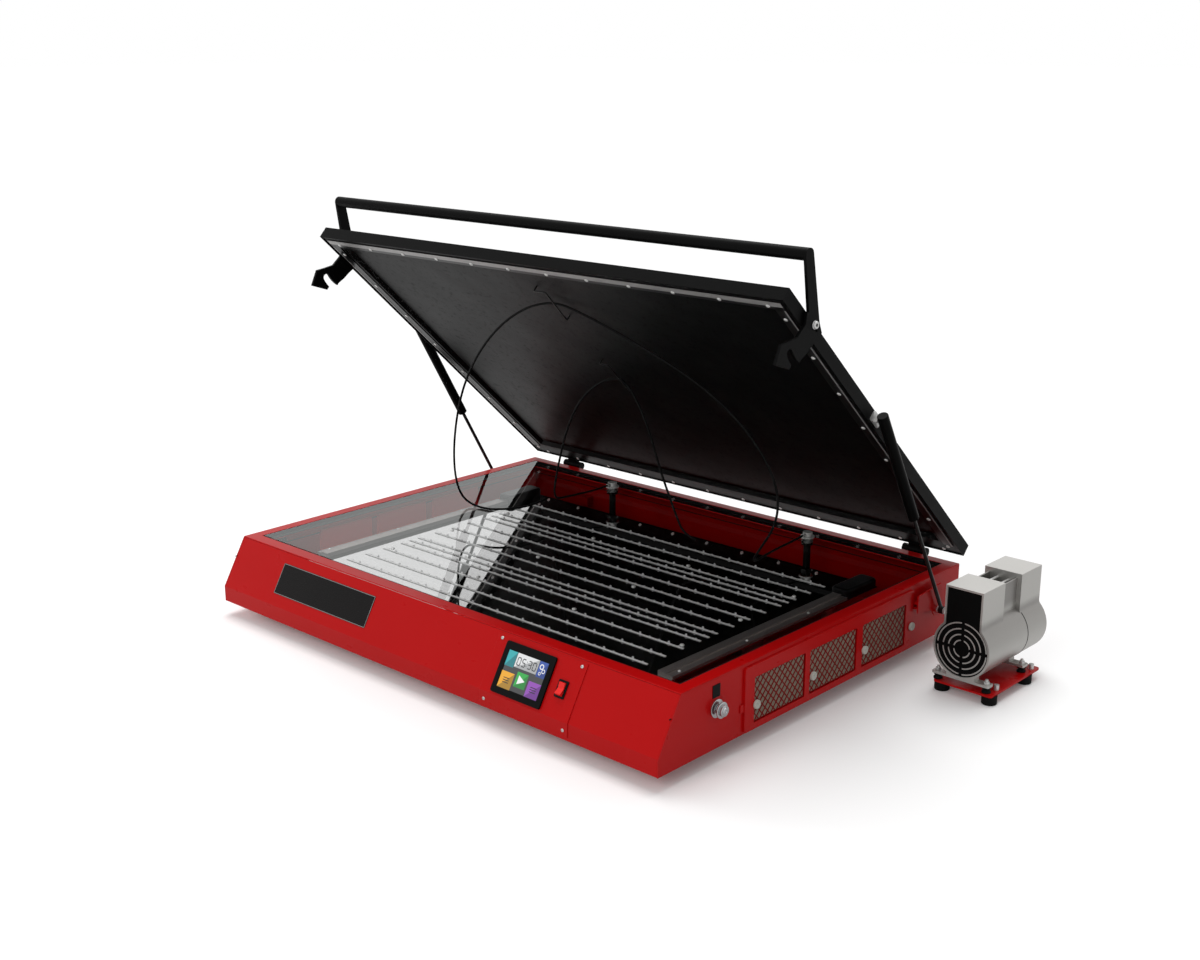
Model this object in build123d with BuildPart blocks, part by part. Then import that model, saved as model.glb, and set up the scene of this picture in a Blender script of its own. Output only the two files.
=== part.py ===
from build123d import *
import os
from math import atan2, cos, degrees, hypot, pi, radians, sin, tan

# Screen printing exposure unit: a low LED light table under glass, a hinged vacuum lid with a
# rubber blanket, a latching handle, two gas struts and a separate vacuum pump.
# Millimetres. X runs to the right along the front, Y to the back, Z up.
# The origin is the centre of the cabinet's footprint on the floor.

os.makedirs("parts", exist_ok=True)

# ---------------------------------------------------------------- cabinet
cabinet_width = 1250
cabinet_depth = 962
cabinet_height = 135
foot_height = 30
slope_run = 58.5  # how far the front leans back from the skirt to the top
skirt_height = 34  # upright part of the front, under the slope
sheet = 2
foot_radius = 20
foot_inset = 115

# ---------------------------------------------------------------- glass and its rim
rim_side = 27
rim_front = 29
rim_rear = 23.5
ledge_width = 15
glass_thickness = 8
gasket_thickness = 2
gasket_wall = 2.5
glass_clearance = 0.3
port_hole_radius = 10

# ---------------------------------------------------------------- LED tray
tray_depth_below_glass = 44
tray_sheet = 2
tray_width = 1025
tray_front_gap = 14  # from the glass opening's front edge to the tray
tray_rear_gap = 107  # from the glass opening's rear edge to the tray
rail_width = 20
rail_height = 9
rail_flange = 15
rail_flange_height = 6
rail_front_gap = 82.5
rail_length = 550
end_cover_length = 111
end_cover_width = 44
end_cover_height = 20
strip_width = 12
strip_length = 870
strip_thickness = 1.6
strip_pitch = 51
strip_count = 12
strip_rear_gap = 78  # from the tray's rear edge to the rearmost strip
lens_radius = 2.6
lens_height = 4.5
lens_pitch = 72
lens_count = 12
support_radius = 14

# ---------------------------------------------------------------- vacuum parts
port_x = 289
port_rear_gap = 46  # from the glass opening's rear edge to the ports
port_flange_radius = 16
port_body_radius = 10.5
port_height = 12
nozzle_radius = 4
nozzle_length = 8
stem_radius = 8
pipe_height = 60
spigot_length = 30
spigot_radius = 7
spigot_bore = 5

# ---------------------------------------------------------------- controls on the front
plate_thickness = 1.5
control_plate_width = 225
control_plate_x = 304.5
control_plate_top = 110
control_plate_skirt = 27
bezel_width = 126
bezel_height = 98
bezel_x = 284
bezel_up = 53
bezel_proud = 4
screen_width = 101
screen_height = 70
rocker_x = 379
rocker_up = 52.5
rocker_bezel_width = 23
rocker_bezel_height = 33
rocker_width = 14
rocker_radius = 12.5
rocker_tilt = 8
name_plate_width = 302
name_plate_height = 67
name_plate_x = -309
name_plate_up = 58.5

# ---------------------------------------------------------------- vents in the side walls
vent_cover_front = -251
vent_cover_length = 551
vent_cover_bottom = 2.5  # above the cabinet's lower edge
vent_cover_height = 124
vent_cover_thickness = 4
vent_cover_hollow = 2.2
window_starts = [-223.5, -54.8, 119]
window_length = 154
window_bottom = 45
window_height = 87.5
mesh_thickness = 1.2
mesh_cell_length = 16.5
mesh_cell_height = 17.5
mesh_strand = 3.4
filter_thickness = 8
knob_ys = [-218.5, -46, 125.3, 294]
knob_z = 80
knob_radius = 8.5
knob_thickness = 5
knob_stem_radius = 3

# ---------------------------------------------------------------- latch pins and sensor windows
latch_from_front = 154.6
latch_z = 106.3
latch_shaft_radius = 6.5
latch_washer_radius = 17
sensor_from_front = 152.5
sensor_z = 139.5
sensor_width = 21
sensor_height = 24

# ---------------------------------------------------------------- lid
open_angle = 42.8
lid_overhang_side = 2.5
lid_overhang_front = 3.2
lid_overhang_rear = 3
lid_thickness = 26
lid_rim_gap = 2.5  # between the closed lid and the rim
lid_sheet = 1.5
lid_flange = 38
lid_flange_recess = 4.5
blanket_thickness = 2
blanket_recess = 11
clamp_strip_inset = 12.5
clamp_strip_width = 22
clamp_strip_thickness = 2
clamp_screw_inset = 25.8
clamp_screw_radius = 4.2
clamp_screw_height = 1.6
front_screw_count = 12
front_screw_side_gap = 45  # from the lid's side to the nearest screw of the front row
side_screw_count = 8
side_screw_front_gap = 62.6
side_screw_rear_gap = 29.5
rear_screw_inset = 9

# ---------------------------------------------------------------- hinges
hinge_axis_behind = 21.5  # the axis behind the cabinet's rear face
hinge_axis_below = 2.1  # the axis below the rim's top
hinge_x = 506
hinge_length = 57
hinge_pin_radius = 5
hinge_barrel_radius = 9.5
hinge_leaf = 5
running_fit = 0.05

# ---------------------------------------------------------------- handle
pivot_from_front = 97.3
pivot_above_underside = 19.5
handle_forward = 99
handle_up = 75.5
handle_tube_radius = 11.5
arm_thickness = 6
arm_gap = 1.5
arm_half_width = 14.5
pivot_bolt_radius = 4.8
latch_swing = 19

# ---------------------------------------------------------------- gas struts
strut_x = 647
strut_lid_along = 512.5  # from the lid's rear edge to the upper pivot
strut_lid_up = 15
strut_foot_y = 381.5
strut_foot_z = 95
strut_tube_radius = 11
strut_rod_radius = 4
strut_tube_length = 262
strut_stud_radius = 4

# ---------------------------------------------------------------- pump
pump_x = 789
pump_front = 212
pump_length = 227
pump_barrel_radius = 60
pump_barrel_z = 99
pump_head_width = 80
pump_top = 221
pump_wall = 4
pump_head_length = 82
pump_gap = 65
pump_plate_width = 126
pump_plate_length = 193
pump_plate_thickness = 4
pump_plate_z = 22
pump_foot_radius = 15
pump_foot_ys = [228, 364]
pump_post_ys = [248, 386]

# ---------------------------------------------------------------- cords
cord_diameter = 5

# Places that several pieces share, worked out from the sizes above.
half_width = cabinet_width / 2
front_y = -cabinet_depth / 2
rear_y = cabinet_depth / 2
rim_top = foot_height + cabinet_height
wall_top = rim_top - sheet
rim_front_y = front_y + slope_run
opening_width = cabinet_width - 2 * rim_side
opening_front = rim_front_y + rim_front
opening_rear = rear_y - rim_rear
opening_depth = opening_rear - opening_front
opening_y = (opening_front + opening_rear) / 2
glass_bottom = rim_top - glass_thickness
ledge_bottom = glass_bottom - gasket_thickness - sheet
slope_rise = cabinet_height - skirt_height
slope_length = hypot(slope_run, slope_rise)
crease_z = foot_height + skirt_height
slope_dir = (0, slope_run / slope_length, slope_rise / slope_length)
slope_out = (0, -slope_rise / slope_length, slope_run / slope_length)
port_y = opening_rear - port_rear_gap
latch_y = front_y + latch_from_front
sensor_y = front_y + sensor_from_front


def side_plane(x):
    """An upright plane facing right at x, sketched in (y, z)."""
    return Plane.YZ.offset(x)


def front_plane(y):
    """An upright plane facing the front at y, sketched in (x, z)."""
    return Plane(origin=(0, y, 0), x_dir=(1, 0, 0), z_dir=(0, -1, 0))


def slope_plane(out):
    """The sloped front face, sketched in (x, distance up the slope), out from the outer skin."""
    origin = (0, front_y + slope_out[1] * out, crease_z + slope_out[2] * out)
    return Plane(origin=origin, x_dir=(1, 0, 0), z_dir=slope_out)


def curved_slot(radius, start, sweep, width):
    """A slot along an arc about the origin, drawn in (x, y) from the angle start."""
    with BuildSketch(Plane.XY) as slot:
        SlotArc(CenterArc((0, 0), radius, start, sweep), width)
    return slot.sketch


# ================================================================ cabinet shell

with BuildPart() as base_pan:
    with BuildSketch(Plane.XY.offset(foot_height)):
        Rectangle(cabinet_width - 2 * sheet, cabinet_depth - 2 * sheet)
    extrude(amount=sheet)
base_pan.part.label = "base_pan"
export_step(base_pan.part, "parts/base_pan.step")

slope_top_y = front_y + slope_run * (wall_top - crease_z) / slope_rise
front_outline = [(front_y, foot_height), (front_y, crease_z), (slope_top_y, wall_top)]
mouth_margin = 6  # the front panel's holes are this much inside the bezels
with BuildPart() as front_panel:
    with BuildSketch(side_plane(-half_width + sheet)):
        with BuildLine():
            Polyline(*front_outline)
            offset(amount=sheet, side=Side.RIGHT, kind=Kind.INTERSECTION)
        make_face()
    extrude(amount=cabinet_width - 2 * sheet)
    with BuildSketch(slope_plane(0)):
        with Locations((bezel_x, bezel_up)):
            Rectangle(bezel_width - 2 * mouth_margin, bezel_height - 2 * mouth_margin)
        with Locations((rocker_x, rocker_up)):
            Rectangle(rocker_bezel_width, rocker_bezel_height)
    extrude(amount=-2 * sheet, mode=Mode.SUBTRACT)
front_panel.part.label = "front_panel"
export_step(front_panel.part, "parts/front_panel.step")

wall_outline = [
    (front_y, foot_height),
    (front_y, crease_z),
    (slope_top_y, wall_top),
    (rear_y, wall_top),
    (rear_y, foot_height),
]
window_ys = [start + window_length / 2 for start in window_starts]
window_z = window_bottom + window_height / 2


with BuildPart() as side_panels:
    for side in (-1, 1):
        with BuildSketch(side_plane(side * half_width)):
            with BuildLine():
                Polyline(*wall_outline, close=True)
            make_face()
            with Locations(*[(y, window_z) for y in window_ys]):
                Rectangle(window_length - 4, window_height - 4, mode=Mode.SUBTRACT)
            with Locations((latch_y, latch_z)):
                Circle(latch_shaft_radius, mode=Mode.SUBTRACT)
            with Locations((sensor_y, sensor_z)):
                Rectangle(sensor_width - 4, sensor_height - 4, mode=Mode.SUBTRACT)
        extrude(amount=-side * sheet)
side_panels.part.label = "side_panels"
export_step(side_panels.part, "parts/side_panels.step")

inlet_x = -430
inlet_z = 90
inlet_width = 28
inlet_height = 20
spigot_x = 0
with BuildPart() as rear_panel:
    with BuildSketch(front_plane(rear_y)):
        with Locations((0, (foot_height + wall_top) / 2)):
            Rectangle(cabinet_width - 2 * sheet, wall_top - foot_height)
        with Locations((inlet_x, inlet_z)):
            Rectangle(inlet_width, inlet_height, mode=Mode.SUBTRACT)
        with Locations((spigot_x, pipe_height)):
            Circle(stem_radius, mode=Mode.SUBTRACT)
    extrude(amount=sheet)
rear_panel.part.label = "rear_panel"
export_step(rear_panel.part, "parts/rear_panel.step")

with BuildPart() as top_rim:
    with BuildSketch(side_plane(-half_width)):
        with BuildLine():
            Polyline(
                (slope_top_y, wall_top),
                (rim_front_y, rim_top),
                (rear_y, rim_top),
                (rear_y, wall_top),
                close=True,
            )
        make_face()
    extrude(amount=cabinet_width)
    with BuildSketch(Plane.XY.offset(ledge_bottom)):
        with Locations((0, opening_y)):
            Rectangle(opening_width + 2 * sheet, opening_depth + 2 * sheet)
    extrude(amount=wall_top - ledge_bottom)
    with BuildSketch(Plane.XY.offset(ledge_bottom + sheet)):
        with Locations((0, opening_y)):
            Rectangle(opening_width, opening_depth)
    extrude(amount=cabinet_height, mode=Mode.SUBTRACT)
    with BuildSketch(Plane.XY.offset(ledge_bottom)):
        with Locations((0, opening_y)):
            Rectangle(opening_width - 2 * ledge_width, opening_depth - 2 * ledge_width)
    extrude(amount=sheet, mode=Mode.SUBTRACT)
top_rim.part.label = "top_rim"
export_step(top_rim.part, "parts/top_rim.step")

with BuildPart() as cabinet_feet:
    with BuildSketch(Plane.XY):
        with GridLocations(cabinet_width - 2 * foot_inset, cabinet_depth - 2 * foot_inset, 2, 2):
            Circle(foot_radius)
        Circle(foot_radius)
    extrude(amount=foot_height)
    chamfer(cabinet_feet.faces().filter_by(Axis.Z).group_by(Axis.Z)[0].edges(), length=2)
cabinet_feet.part.label = "cabinet_feet"
export_step(cabinet_feet.part, "parts/cabinet_feet.step")

# ================================================================ glass and gasket

with BuildPart() as glass_gasket:
    with BuildSketch(Plane.XY.offset(glass_bottom - gasket_thickness)):
        with Locations((0, opening_y)):
            Rectangle(opening_width, opening_depth)
            Rectangle(
                opening_width - 2 * ledge_width,
                opening_depth - 2 * ledge_width,
                mode=Mode.SUBTRACT,
            )
    extrude(amount=gasket_thickness)
    with BuildSketch(Plane.XY.offset(glass_bottom)):
        with Locations((0, opening_y)):
            Rectangle(opening_width, opening_depth)
            Rectangle(
                opening_width - 2 * gasket_wall,
                opening_depth - 2 * gasket_wall,
                mode=Mode.SUBTRACT,
            )
    extrude(amount=glass_thickness - 0.5)
glass_gasket.part.label = "glass_gasket"
export_step(glass_gasket.part, "parts/glass_gasket.step")

glass_width = opening_width - 2 * (gasket_wall + glass_clearance)
glass_depth = opening_depth - 2 * (gasket_wall + glass_clearance)
with BuildPart() as glass_pane:
    with BuildSketch(Plane.XY.offset(glass_bottom)):
        with Locations((0, opening_y)):
            Rectangle(glass_width, glass_depth)
        with Locations((-port_x, port_y), (port_x, port_y)):
            Circle(port_hole_radius, mode=Mode.SUBTRACT)
    extrude(amount=glass_thickness)
glass_pane.part.label = "glass_pane"
export_step(glass_pane.part, "parts/glass_pane.step")

# ================================================================ LED tray

tray_top = rim_top - tray_depth_below_glass
tray_front = opening_front + tray_front_gap
tray_rear = opening_rear - tray_rear_gap
tray_y = (tray_front + tray_rear) / 2
with BuildPart() as led_tray:
    with BuildSketch(Plane.XY.offset(tray_top - tray_sheet)):
        with Locations((0, tray_y)):
            Rectangle(tray_width, tray_rear - tray_front)
    extrude(amount=tray_sheet)
led_tray.part.label = "led_tray"
export_step(led_tray.part, "parts/led_tray.step")

rail_x = tray_width / 2 - rail_flange - rail_width / 2
rail_front = opening_front + rail_front_gap
rail_y = rail_front + rail_length / 2
cover_y = rail_front + rail_length + end_cover_length / 2
cover_x = tray_width / 2 - end_cover_width / 2
with BuildPart() as tray_rails:
    with BuildSketch(Plane.XY.offset(tray_top)):
        with Locations((-cover_x, cover_y), (cover_x, cover_y)):
            RectangleRounded(end_cover_width, end_cover_length, 12)
    extrude(amount=end_cover_height)
    fillet(tray_rails.faces().filter_by(Axis.Z).group_by(Axis.Z)[-1].edges(), radius=6)
    for side in (-1, 1):
        with BuildSketch(Plane.XY.offset(tray_top)):
            with Locations((side * rail_x, rail_y)):
                Rectangle(rail_width, rail_length)
        extrude(amount=rail_height)
        with BuildSketch(Plane.XY.offset(tray_top)):
            with Locations((side * (tray_width - rail_flange) / 2, rail_y)):
                Rectangle(rail_flange, rail_length)
        extrude(amount=rail_flange_height)
tray_rails.part.label = "tray_rails"
export_step(tray_rails.part, "parts/tray_rails.step")

rear_strip_y = tray_rear - strip_rear_gap
strip_ys = [rear_strip_y - strip_pitch * i for i in range(strip_count)]
extra_strip_places = (2.5, 7.5)  # in pitches from the rearmost strip
strip_ys += [rear_strip_y - strip_pitch * place for place in extra_strip_places]
with BuildPart() as led_strips:
    for strip_y in strip_ys:
        with BuildSketch(Plane.XY.offset(tray_top)):
            with Locations((0, strip_y)):
                Rectangle(strip_length, strip_width)
        extrude(amount=strip_thickness)
        with BuildSketch(Plane.XY.offset(tray_top + strip_thickness)):
            with Locations((0, strip_y)):
                with GridLocations(lens_pitch, strip_width, lens_count, 1):
                    Circle(lens_radius)
        extrude(amount=lens_height)
led_strips.part.label = "led_strips"
export_step(led_strips.part, "parts/led_strips.step")

base_top = foot_height + sheet
with BuildPart() as tray_supports:
    with BuildSketch(Plane.XY.offset(base_top)):
        with Locations((0, tray_y)):
            with GridLocations((tray_width - 160) / 2, tray_rear - tray_front - 120, 3, 2):
                Circle(support_radius)
    extrude(amount=tray_top - tray_sheet - base_top)
tray_supports.part.label = "tray_supports"
export_step(tray_supports.part, "parts/tray_supports.step")

driver_length = 230
driver_width = 70
driver_height = 42
driver_pitch = 300
driver_y = 60
with BuildPart() as led_drivers:
    with BuildSketch(Plane.XY.offset(base_top)):
        with Locations((0, driver_y)):
            with GridLocations(driver_pitch, driver_width, 3, 1):
                Rectangle(driver_length, driver_width)
    extrude(amount=driver_height)
    chamfer(led_drivers.edges().filter_by(Axis.Z), length=4)
led_drivers.part.label = "led_drivers"
export_step(led_drivers.part, "parts/led_drivers.step")

# ================================================================ vacuum ports and pipes

nozzle_z = rim_top + 3 + nozzle_radius
nozzle_tip_y = port_y - port_body_radius - nozzle_length
with BuildPart() as vacuum_ports:
    for side in (-1, 1):
        with BuildSketch(Plane.XY.offset(rim_top)):
            with Locations((side * port_x, port_y)):
                Circle(port_flange_radius)
        extrude(amount=2.5)
        with BuildSketch(Plane.XY.offset(glass_bottom)):
            with Locations((side * port_x, port_y)):
                Circle(port_hole_radius)
        extrude(amount=glass_thickness)
        with BuildSketch(Plane.XY.offset(rim_top + 2.5)):
            with Locations((side * port_x, port_y)):
                Circle(port_body_radius)
        extrude(amount=port_height - 2.5)
        with BuildSketch(front_plane(port_y)):
            with Locations((side * port_x, nozzle_z)):
                Circle(nozzle_radius)
        extrude(amount=port_y - nozzle_tip_y)
        with BuildSketch(Plane.XY.offset(glass_bottom - 9)):
            with Locations((side * port_x, port_y)):
                RegularPolygon(14, 6)
        extrude(amount=9)
vacuum_ports.part.label = "vacuum_ports"
export_step(vacuum_ports.part, "parts/vacuum_ports.step")

spigot_tip_y = rear_y + spigot_length
with BuildPart() as vacuum_manifold:
    with BuildSketch(Plane.XY.offset(pipe_height)):
        with Locations((-port_x, port_y), (port_x, port_y)):
            Circle(stem_radius)
    extrude(amount=glass_bottom - 9 - pipe_height)
    with BuildSketch(side_plane(-port_x)):
        with Locations((port_y, pipe_height)):
            Circle(stem_radius)
    extrude(amount=2 * port_x)
    with BuildSketch(front_plane(rear_y)):
        with Locations((spigot_x, pipe_height)):
            Circle(stem_radius)
    extrude(amount=rear_y - port_y)
    with BuildSketch(front_plane(spigot_tip_y)):
        with Locations((spigot_x, pipe_height)):
            Circle(spigot_radius)
    extrude(amount=spigot_length)
    with Locations((-port_x, port_y, pipe_height), (port_x, port_y, pipe_height)):
        Sphere(stem_radius + 1.5)
    with BuildSketch(front_plane(spigot_tip_y)):
        with Locations((spigot_x, pipe_height)):
            Circle(spigot_bore)
    extrude(amount=spigot_tip_y - port_y, mode=Mode.SUBTRACT)
vacuum_manifold.part.label = "vacuum_manifold"
export_step(vacuum_manifold.part, "parts/vacuum_manifold.step")

inlet_depth = 24
with BuildPart() as power_inlet:
    with BuildSketch(front_plane(rear_y)):
        with Locations((inlet_x, inlet_z)):
            Rectangle(inlet_width, inlet_height)
    extrude(amount=inlet_depth)
    with BuildSketch(front_plane(rear_y)):
        with Locations((inlet_x, inlet_z)):
            RectangleRounded(inlet_width + 22, inlet_height + 8, 3)
    extrude(amount=-2.5)
    with BuildSketch(front_plane(rear_y + 2.5)):
        with Locations((inlet_x, inlet_z)):
            Rectangle(inlet_width - 4, inlet_height - 4)
    extrude(amount=inlet_depth - 4, mode=Mode.SUBTRACT)
power_inlet.part.label = "power_inlet"
export_step(power_inlet.part, "parts/power_inlet.step")

# ================================================================ controls on the front

plate_bend_top_y = front_y + slope_dir[1] * control_plate_top
plate_bend_top_z = crease_z + slope_dir[2] * control_plate_top
plate_outline = [
    (front_y, crease_z - control_plate_skirt),
    (front_y, crease_z),
    (plate_bend_top_y, plate_bend_top_z),
]
with BuildPart() as control_plate:
    with BuildSketch(side_plane(control_plate_x - control_plate_width / 2)):
        with BuildLine():
            Polyline(*plate_outline)
            offset(amount=plate_thickness, side=Side.LEFT, kind=Kind.INTERSECTION)
        make_face()
    extrude(amount=control_plate_width)
    with BuildSketch(slope_plane(0)):
        with Locations((bezel_x, bezel_up)):
            Rectangle(bezel_width - 2 * mouth_margin, bezel_height - 2 * mouth_margin)
        with Locations((rocker_x, rocker_up)):
            Rectangle(rocker_bezel_width - 2, rocker_bezel_height - 2)
    extrude(amount=2 * plate_thickness, mode=Mode.SUBTRACT)
control_plate.part.label = "control_plate"
export_step(control_plate.part, "parts/control_plate.step")

rail_screw_pitch = 198
plate_screw_x = 101
plate_screw_up = 102
plate_screw_down = 15.5
with BuildPart() as panel_screws:
    for side in (-1, 1):
        with BuildSketch(Plane.XY.offset(tray_top + rail_flange_height)):
            with Locations((side * (tray_width - rail_flange) / 2, rail_y - rail_screw_pitch * 0.25)):
                with GridLocations(rail_flange, rail_screw_pitch, 1, 3):
                    Circle(3.2)
        extrude(amount=2)
    with BuildSketch(Plane.XY.offset(tray_top)):
        with Locations((0, rear_strip_y - 5.25 * strip_pitch)):
            with GridLocations(280, 3.5 * strip_pitch, 4, 3):
                Circle(4.5)
    extrude(amount=2.5)
    with BuildSketch(slope_plane(plate_thickness)):
        with Locations((control_plate_x, plate_screw_up)):
            with GridLocations(2 * plate_screw_x, 0, 2, 1):
                Circle(3.4)
    extrude(amount=1.8)
    with BuildSketch(front_plane(front_y - plate_thickness)):
        with Locations((control_plate_x, crease_z - plate_screw_down)):
            with GridLocations(2 * plate_screw_x, 0, 2, 1):
                Circle(3.4)
    extrude(amount=1.8)
panel_screws.part.label = "panel_screws"
export_step(panel_screws.part, "parts/panel_screws.step")

screen_recess = 1.5
housing_depth = 24
with BuildPart() as display_housing:
    with BuildSketch(slope_plane(plate_thickness)):
        with Locations((bezel_x, bezel_up)):
            RectangleRounded(bezel_width, bezel_height, 5)
    extrude(amount=bezel_proud)
    with BuildSketch(slope_plane(plate_thickness)):
        with Locations((bezel_x, bezel_up)):
            Rectangle(bezel_width - 2 * mouth_margin - 1, bezel_height - 2 * mouth_margin - 1)
    extrude(amount=-housing_depth)
    with BuildSketch(slope_plane(plate_thickness + bezel_proud)):
        with Locations((bezel_x, bezel_up - 1.5)):
            Rectangle(screen_width, screen_height)
    extrude(amount=-screen_recess, mode=Mode.SUBTRACT)
display_housing.part.label = "display_housing"
export_step(display_housing.part, "parts/display_housing.step")

with BuildPart() as display_screen:
    with BuildSketch(slope_plane(plate_thickness + bezel_proud - screen_recess)):
        with Locations((bezel_x, bezel_up - 1.5)):
            Rectangle(screen_width, screen_height)
    extrude(amount=screen_recess - 0.4)
display_screen.part.label = "display_screen"
export_step(display_screen.part, "parts/display_screen.step")

board_thickness = 1.6
with BuildPart() as control_board:
    with BuildSketch(slope_plane(plate_thickness - housing_depth)):
        with Locations((bezel_x, bezel_up)):
            Rectangle(bezel_width - 2 * mouth_margin - 8, bezel_height - 2 * mouth_margin - 8)
    extrude(amount=-board_thickness)
    with BuildSketch(slope_plane(plate_thickness - housing_depth - board_thickness)):
        with Locations((bezel_x - 20, bezel_up), (bezel_x + 22, bezel_up + 12)):
            Rectangle(24, 24)
    extrude(amount=-3)
control_board.part.label = "control_board"
export_step(control_board.part, "parts/control_board.step")

rocker_pocket_depth = 16
rocker_slot_width = rocker_width + 0.6
rocker_slot_height = 2 * rocker_radius + 0.8
rocker_pivot_out = plate_thickness + 1
rocker_pin_radius = 1.5
rocker_plane = Plane(
    origin=(
        rocker_x - rocker_width / 2,
        front_y + slope_dir[1] * rocker_up + slope_out[1] * rocker_pivot_out,
        crease_z + slope_dir[2] * rocker_up + slope_out[2] * rocker_pivot_out,
    ),
    x_dir=slope_dir,
    z_dir=(1, 0, 0),
)
with BuildPart() as rocker_bezel:
    with BuildSketch(slope_plane(plate_thickness)):
        with Locations((rocker_x, rocker_up)):
            RectangleRounded(rocker_bezel_width, rocker_bezel_height, 2)
    extrude(amount=2)
    with BuildSketch(slope_plane(plate_thickness)):
        with Locations((rocker_x, rocker_up)):
            Rectangle(rocker_bezel_width - 2.4, rocker_bezel_height - 2.4)
    extrude(amount=-rocker_pocket_depth - 3)
    with BuildSketch(slope_plane(plate_thickness + 2)):
        with Locations((rocker_x, rocker_up)):
            Rectangle(rocker_slot_width, rocker_slot_height)
    extrude(amount=-rocker_pocket_depth, mode=Mode.SUBTRACT)
    with BuildSketch(rocker_plane):
        Circle(rocker_pin_radius)
    extrude(amount=rocker_width + 2)
    with BuildSketch(rocker_plane):
        Circle(rocker_pin_radius)
    extrude(amount=-2)
rocker_bezel.part.label = "rocker_bezel"
export_step(rocker_bezel.part, "parts/rocker_bezel.step")

tilt_cos = cos(radians(rocker_tilt))
tilt_sin = sin(radians(rocker_tilt))
tilted_plane = Plane(
    origin=rocker_plane.origin,
    x_dir=Vector(*slope_dir) * tilt_cos - Vector(*slope_out) * tilt_sin,
    z_dir=(1, 0, 0),
)
rocker_dip = 3.2
rocker_crest = 7.5
rocker_base = 7
with BuildPart() as rocker:
    with BuildSketch(tilted_plane):
        Circle(rocker_radius)
        with BuildLine():
            Polyline(
                (-rocker_radius - 2, rocker_crest),
                (0, rocker_dip),
                (rocker_radius + 2, rocker_crest),
                (rocker_radius + 2, 2 * rocker_radius),
                (-rocker_radius - 2, 2 * rocker_radius),
                close=True,
            )
        make_face(mode=Mode.SUBTRACT)
        with Locations((0, -rocker_base - rocker_radius)):
            Rectangle(3 * rocker_radius, 2 * rocker_radius, mode=Mode.SUBTRACT)
        Circle(rocker_pin_radius + running_fit, mode=Mode.SUBTRACT)
    extrude(amount=rocker_width)
rocker.part.label = "rocker"
export_step(rocker.part, "parts/rocker.step")

with BuildPart() as name_plate:
    with BuildSketch(slope_plane(0)):
        with Locations((name_plate_x, name_plate_up)):
            RectangleRounded(name_plate_width, name_plate_height, 2)
    extrude(amount=0.8)
name_plate.part.label = "name_plate"
export_step(name_plate.part, "parts/name_plate.step")

# ================================================================ vents, latch pins, sensor windows

cover_mid_y = vent_cover_front + vent_cover_length / 2
cover_mid_z = foot_height + vent_cover_bottom + vent_cover_height / 2
cover_wall = 3
with BuildPart() as vent_covers:
    for side in (-1, 1):
        with BuildSketch(side_plane(side * half_width)):
            with Locations((cover_mid_y, cover_mid_z)):
                RectangleRounded(vent_cover_length, vent_cover_height, 6)
        extrude(amount=side * vent_cover_thickness)
        with BuildSketch(side_plane(side * half_width)):
            with Locations((cover_mid_y, cover_mid_z)):
                RectangleRounded(
                    vent_cover_length - 2 * cover_wall,
                    vent_cover_height - 2 * cover_wall,
                    4,
                )
        extrude(amount=side * vent_cover_hollow, mode=Mode.SUBTRACT)
        with BuildSketch(side_plane(side * half_width)):
            with Locations(*[(y, window_z) for y in window_ys]):
                RectangleRounded(window_length, window_height, 3)
        extrude(amount=side * vent_cover_thickness, mode=Mode.SUBTRACT)
        with BuildSketch(side_plane(side * (half_width + vent_cover_hollow))):
            with Locations(*[(y, knob_z) for y in knob_ys]):
                Circle(knob_radius - 1)
        extrude(amount=side * (vent_cover_thickness - vent_cover_hollow))
        with BuildSketch(side_plane(side * (half_width + vent_cover_hollow))):
            with Locations(*[(y, knob_z) for y in knob_ys]):
                Circle(knob_stem_radius)
        extrude(amount=side * vent_cover_thickness, mode=Mode.SUBTRACT)
vent_covers.part.label = "vent_covers"
export_step(vent_covers.part, "parts/vent_covers.step")

net_margin = 5
net_length = window_length + 2 * net_margin
net_height = window_height + 2 * (net_margin + 3)
cell_half_length = (mesh_cell_length - mesh_strand * 1.4) / 2
cell_half_height = (mesh_cell_height - mesh_strand * 1.4) / 2
cell_columns = int(window_length // mesh_cell_length)
cell_rows = int(window_height // mesh_cell_height)


def vent_mesh(x, outward):
    """Three expanded metal nets behind the windows of one cover."""
    with BuildPart() as mesh:
        for window_y in window_ys:
            with BuildSketch(side_plane(x)):
                with Locations((window_y, window_z)):
                    Rectangle(net_length, net_height)
                    for columns, rows in ((cell_columns, cell_rows), (cell_columns - 1, cell_rows + 1)):
                        with GridLocations(mesh_cell_length, mesh_cell_height, columns, rows):
                            Polygon(
                                (-cell_half_length, 0),
                                (0, -cell_half_height),
                                (cell_half_length, 0),
                                (0, cell_half_height),
                                mode=Mode.SUBTRACT,
                            )
            extrude(amount=outward)
    return mesh


net_start = half_width + vent_cover_hollow - mesh_thickness
right_vent_mesh = vent_mesh(net_start, mesh_thickness)
right_vent_mesh.part.label = "right_vent_mesh"
export_step(right_vent_mesh.part, "parts/right_vent_mesh.step")
left_vent_mesh = vent_mesh(-net_start, -mesh_thickness)
left_vent_mesh.part.label = "left_vent_mesh"
export_step(left_vent_mesh.part, "parts/left_vent_mesh.step")

filter_rim = 1
with BuildPart() as vent_filters:
    for side in (-1, 1):
        with BuildSketch(side_plane(side * net_start)):
            with Locations(*[(y, window_z) for y in window_ys]):
                Rectangle(window_length - 4 - filter_rim, window_height - 4 - filter_rim)
        extrude(amount=-side * filter_thickness)
vent_filters.part.label = "vent_filters"
export_step(vent_filters.part, "parts/vent_filters.step")

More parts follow.
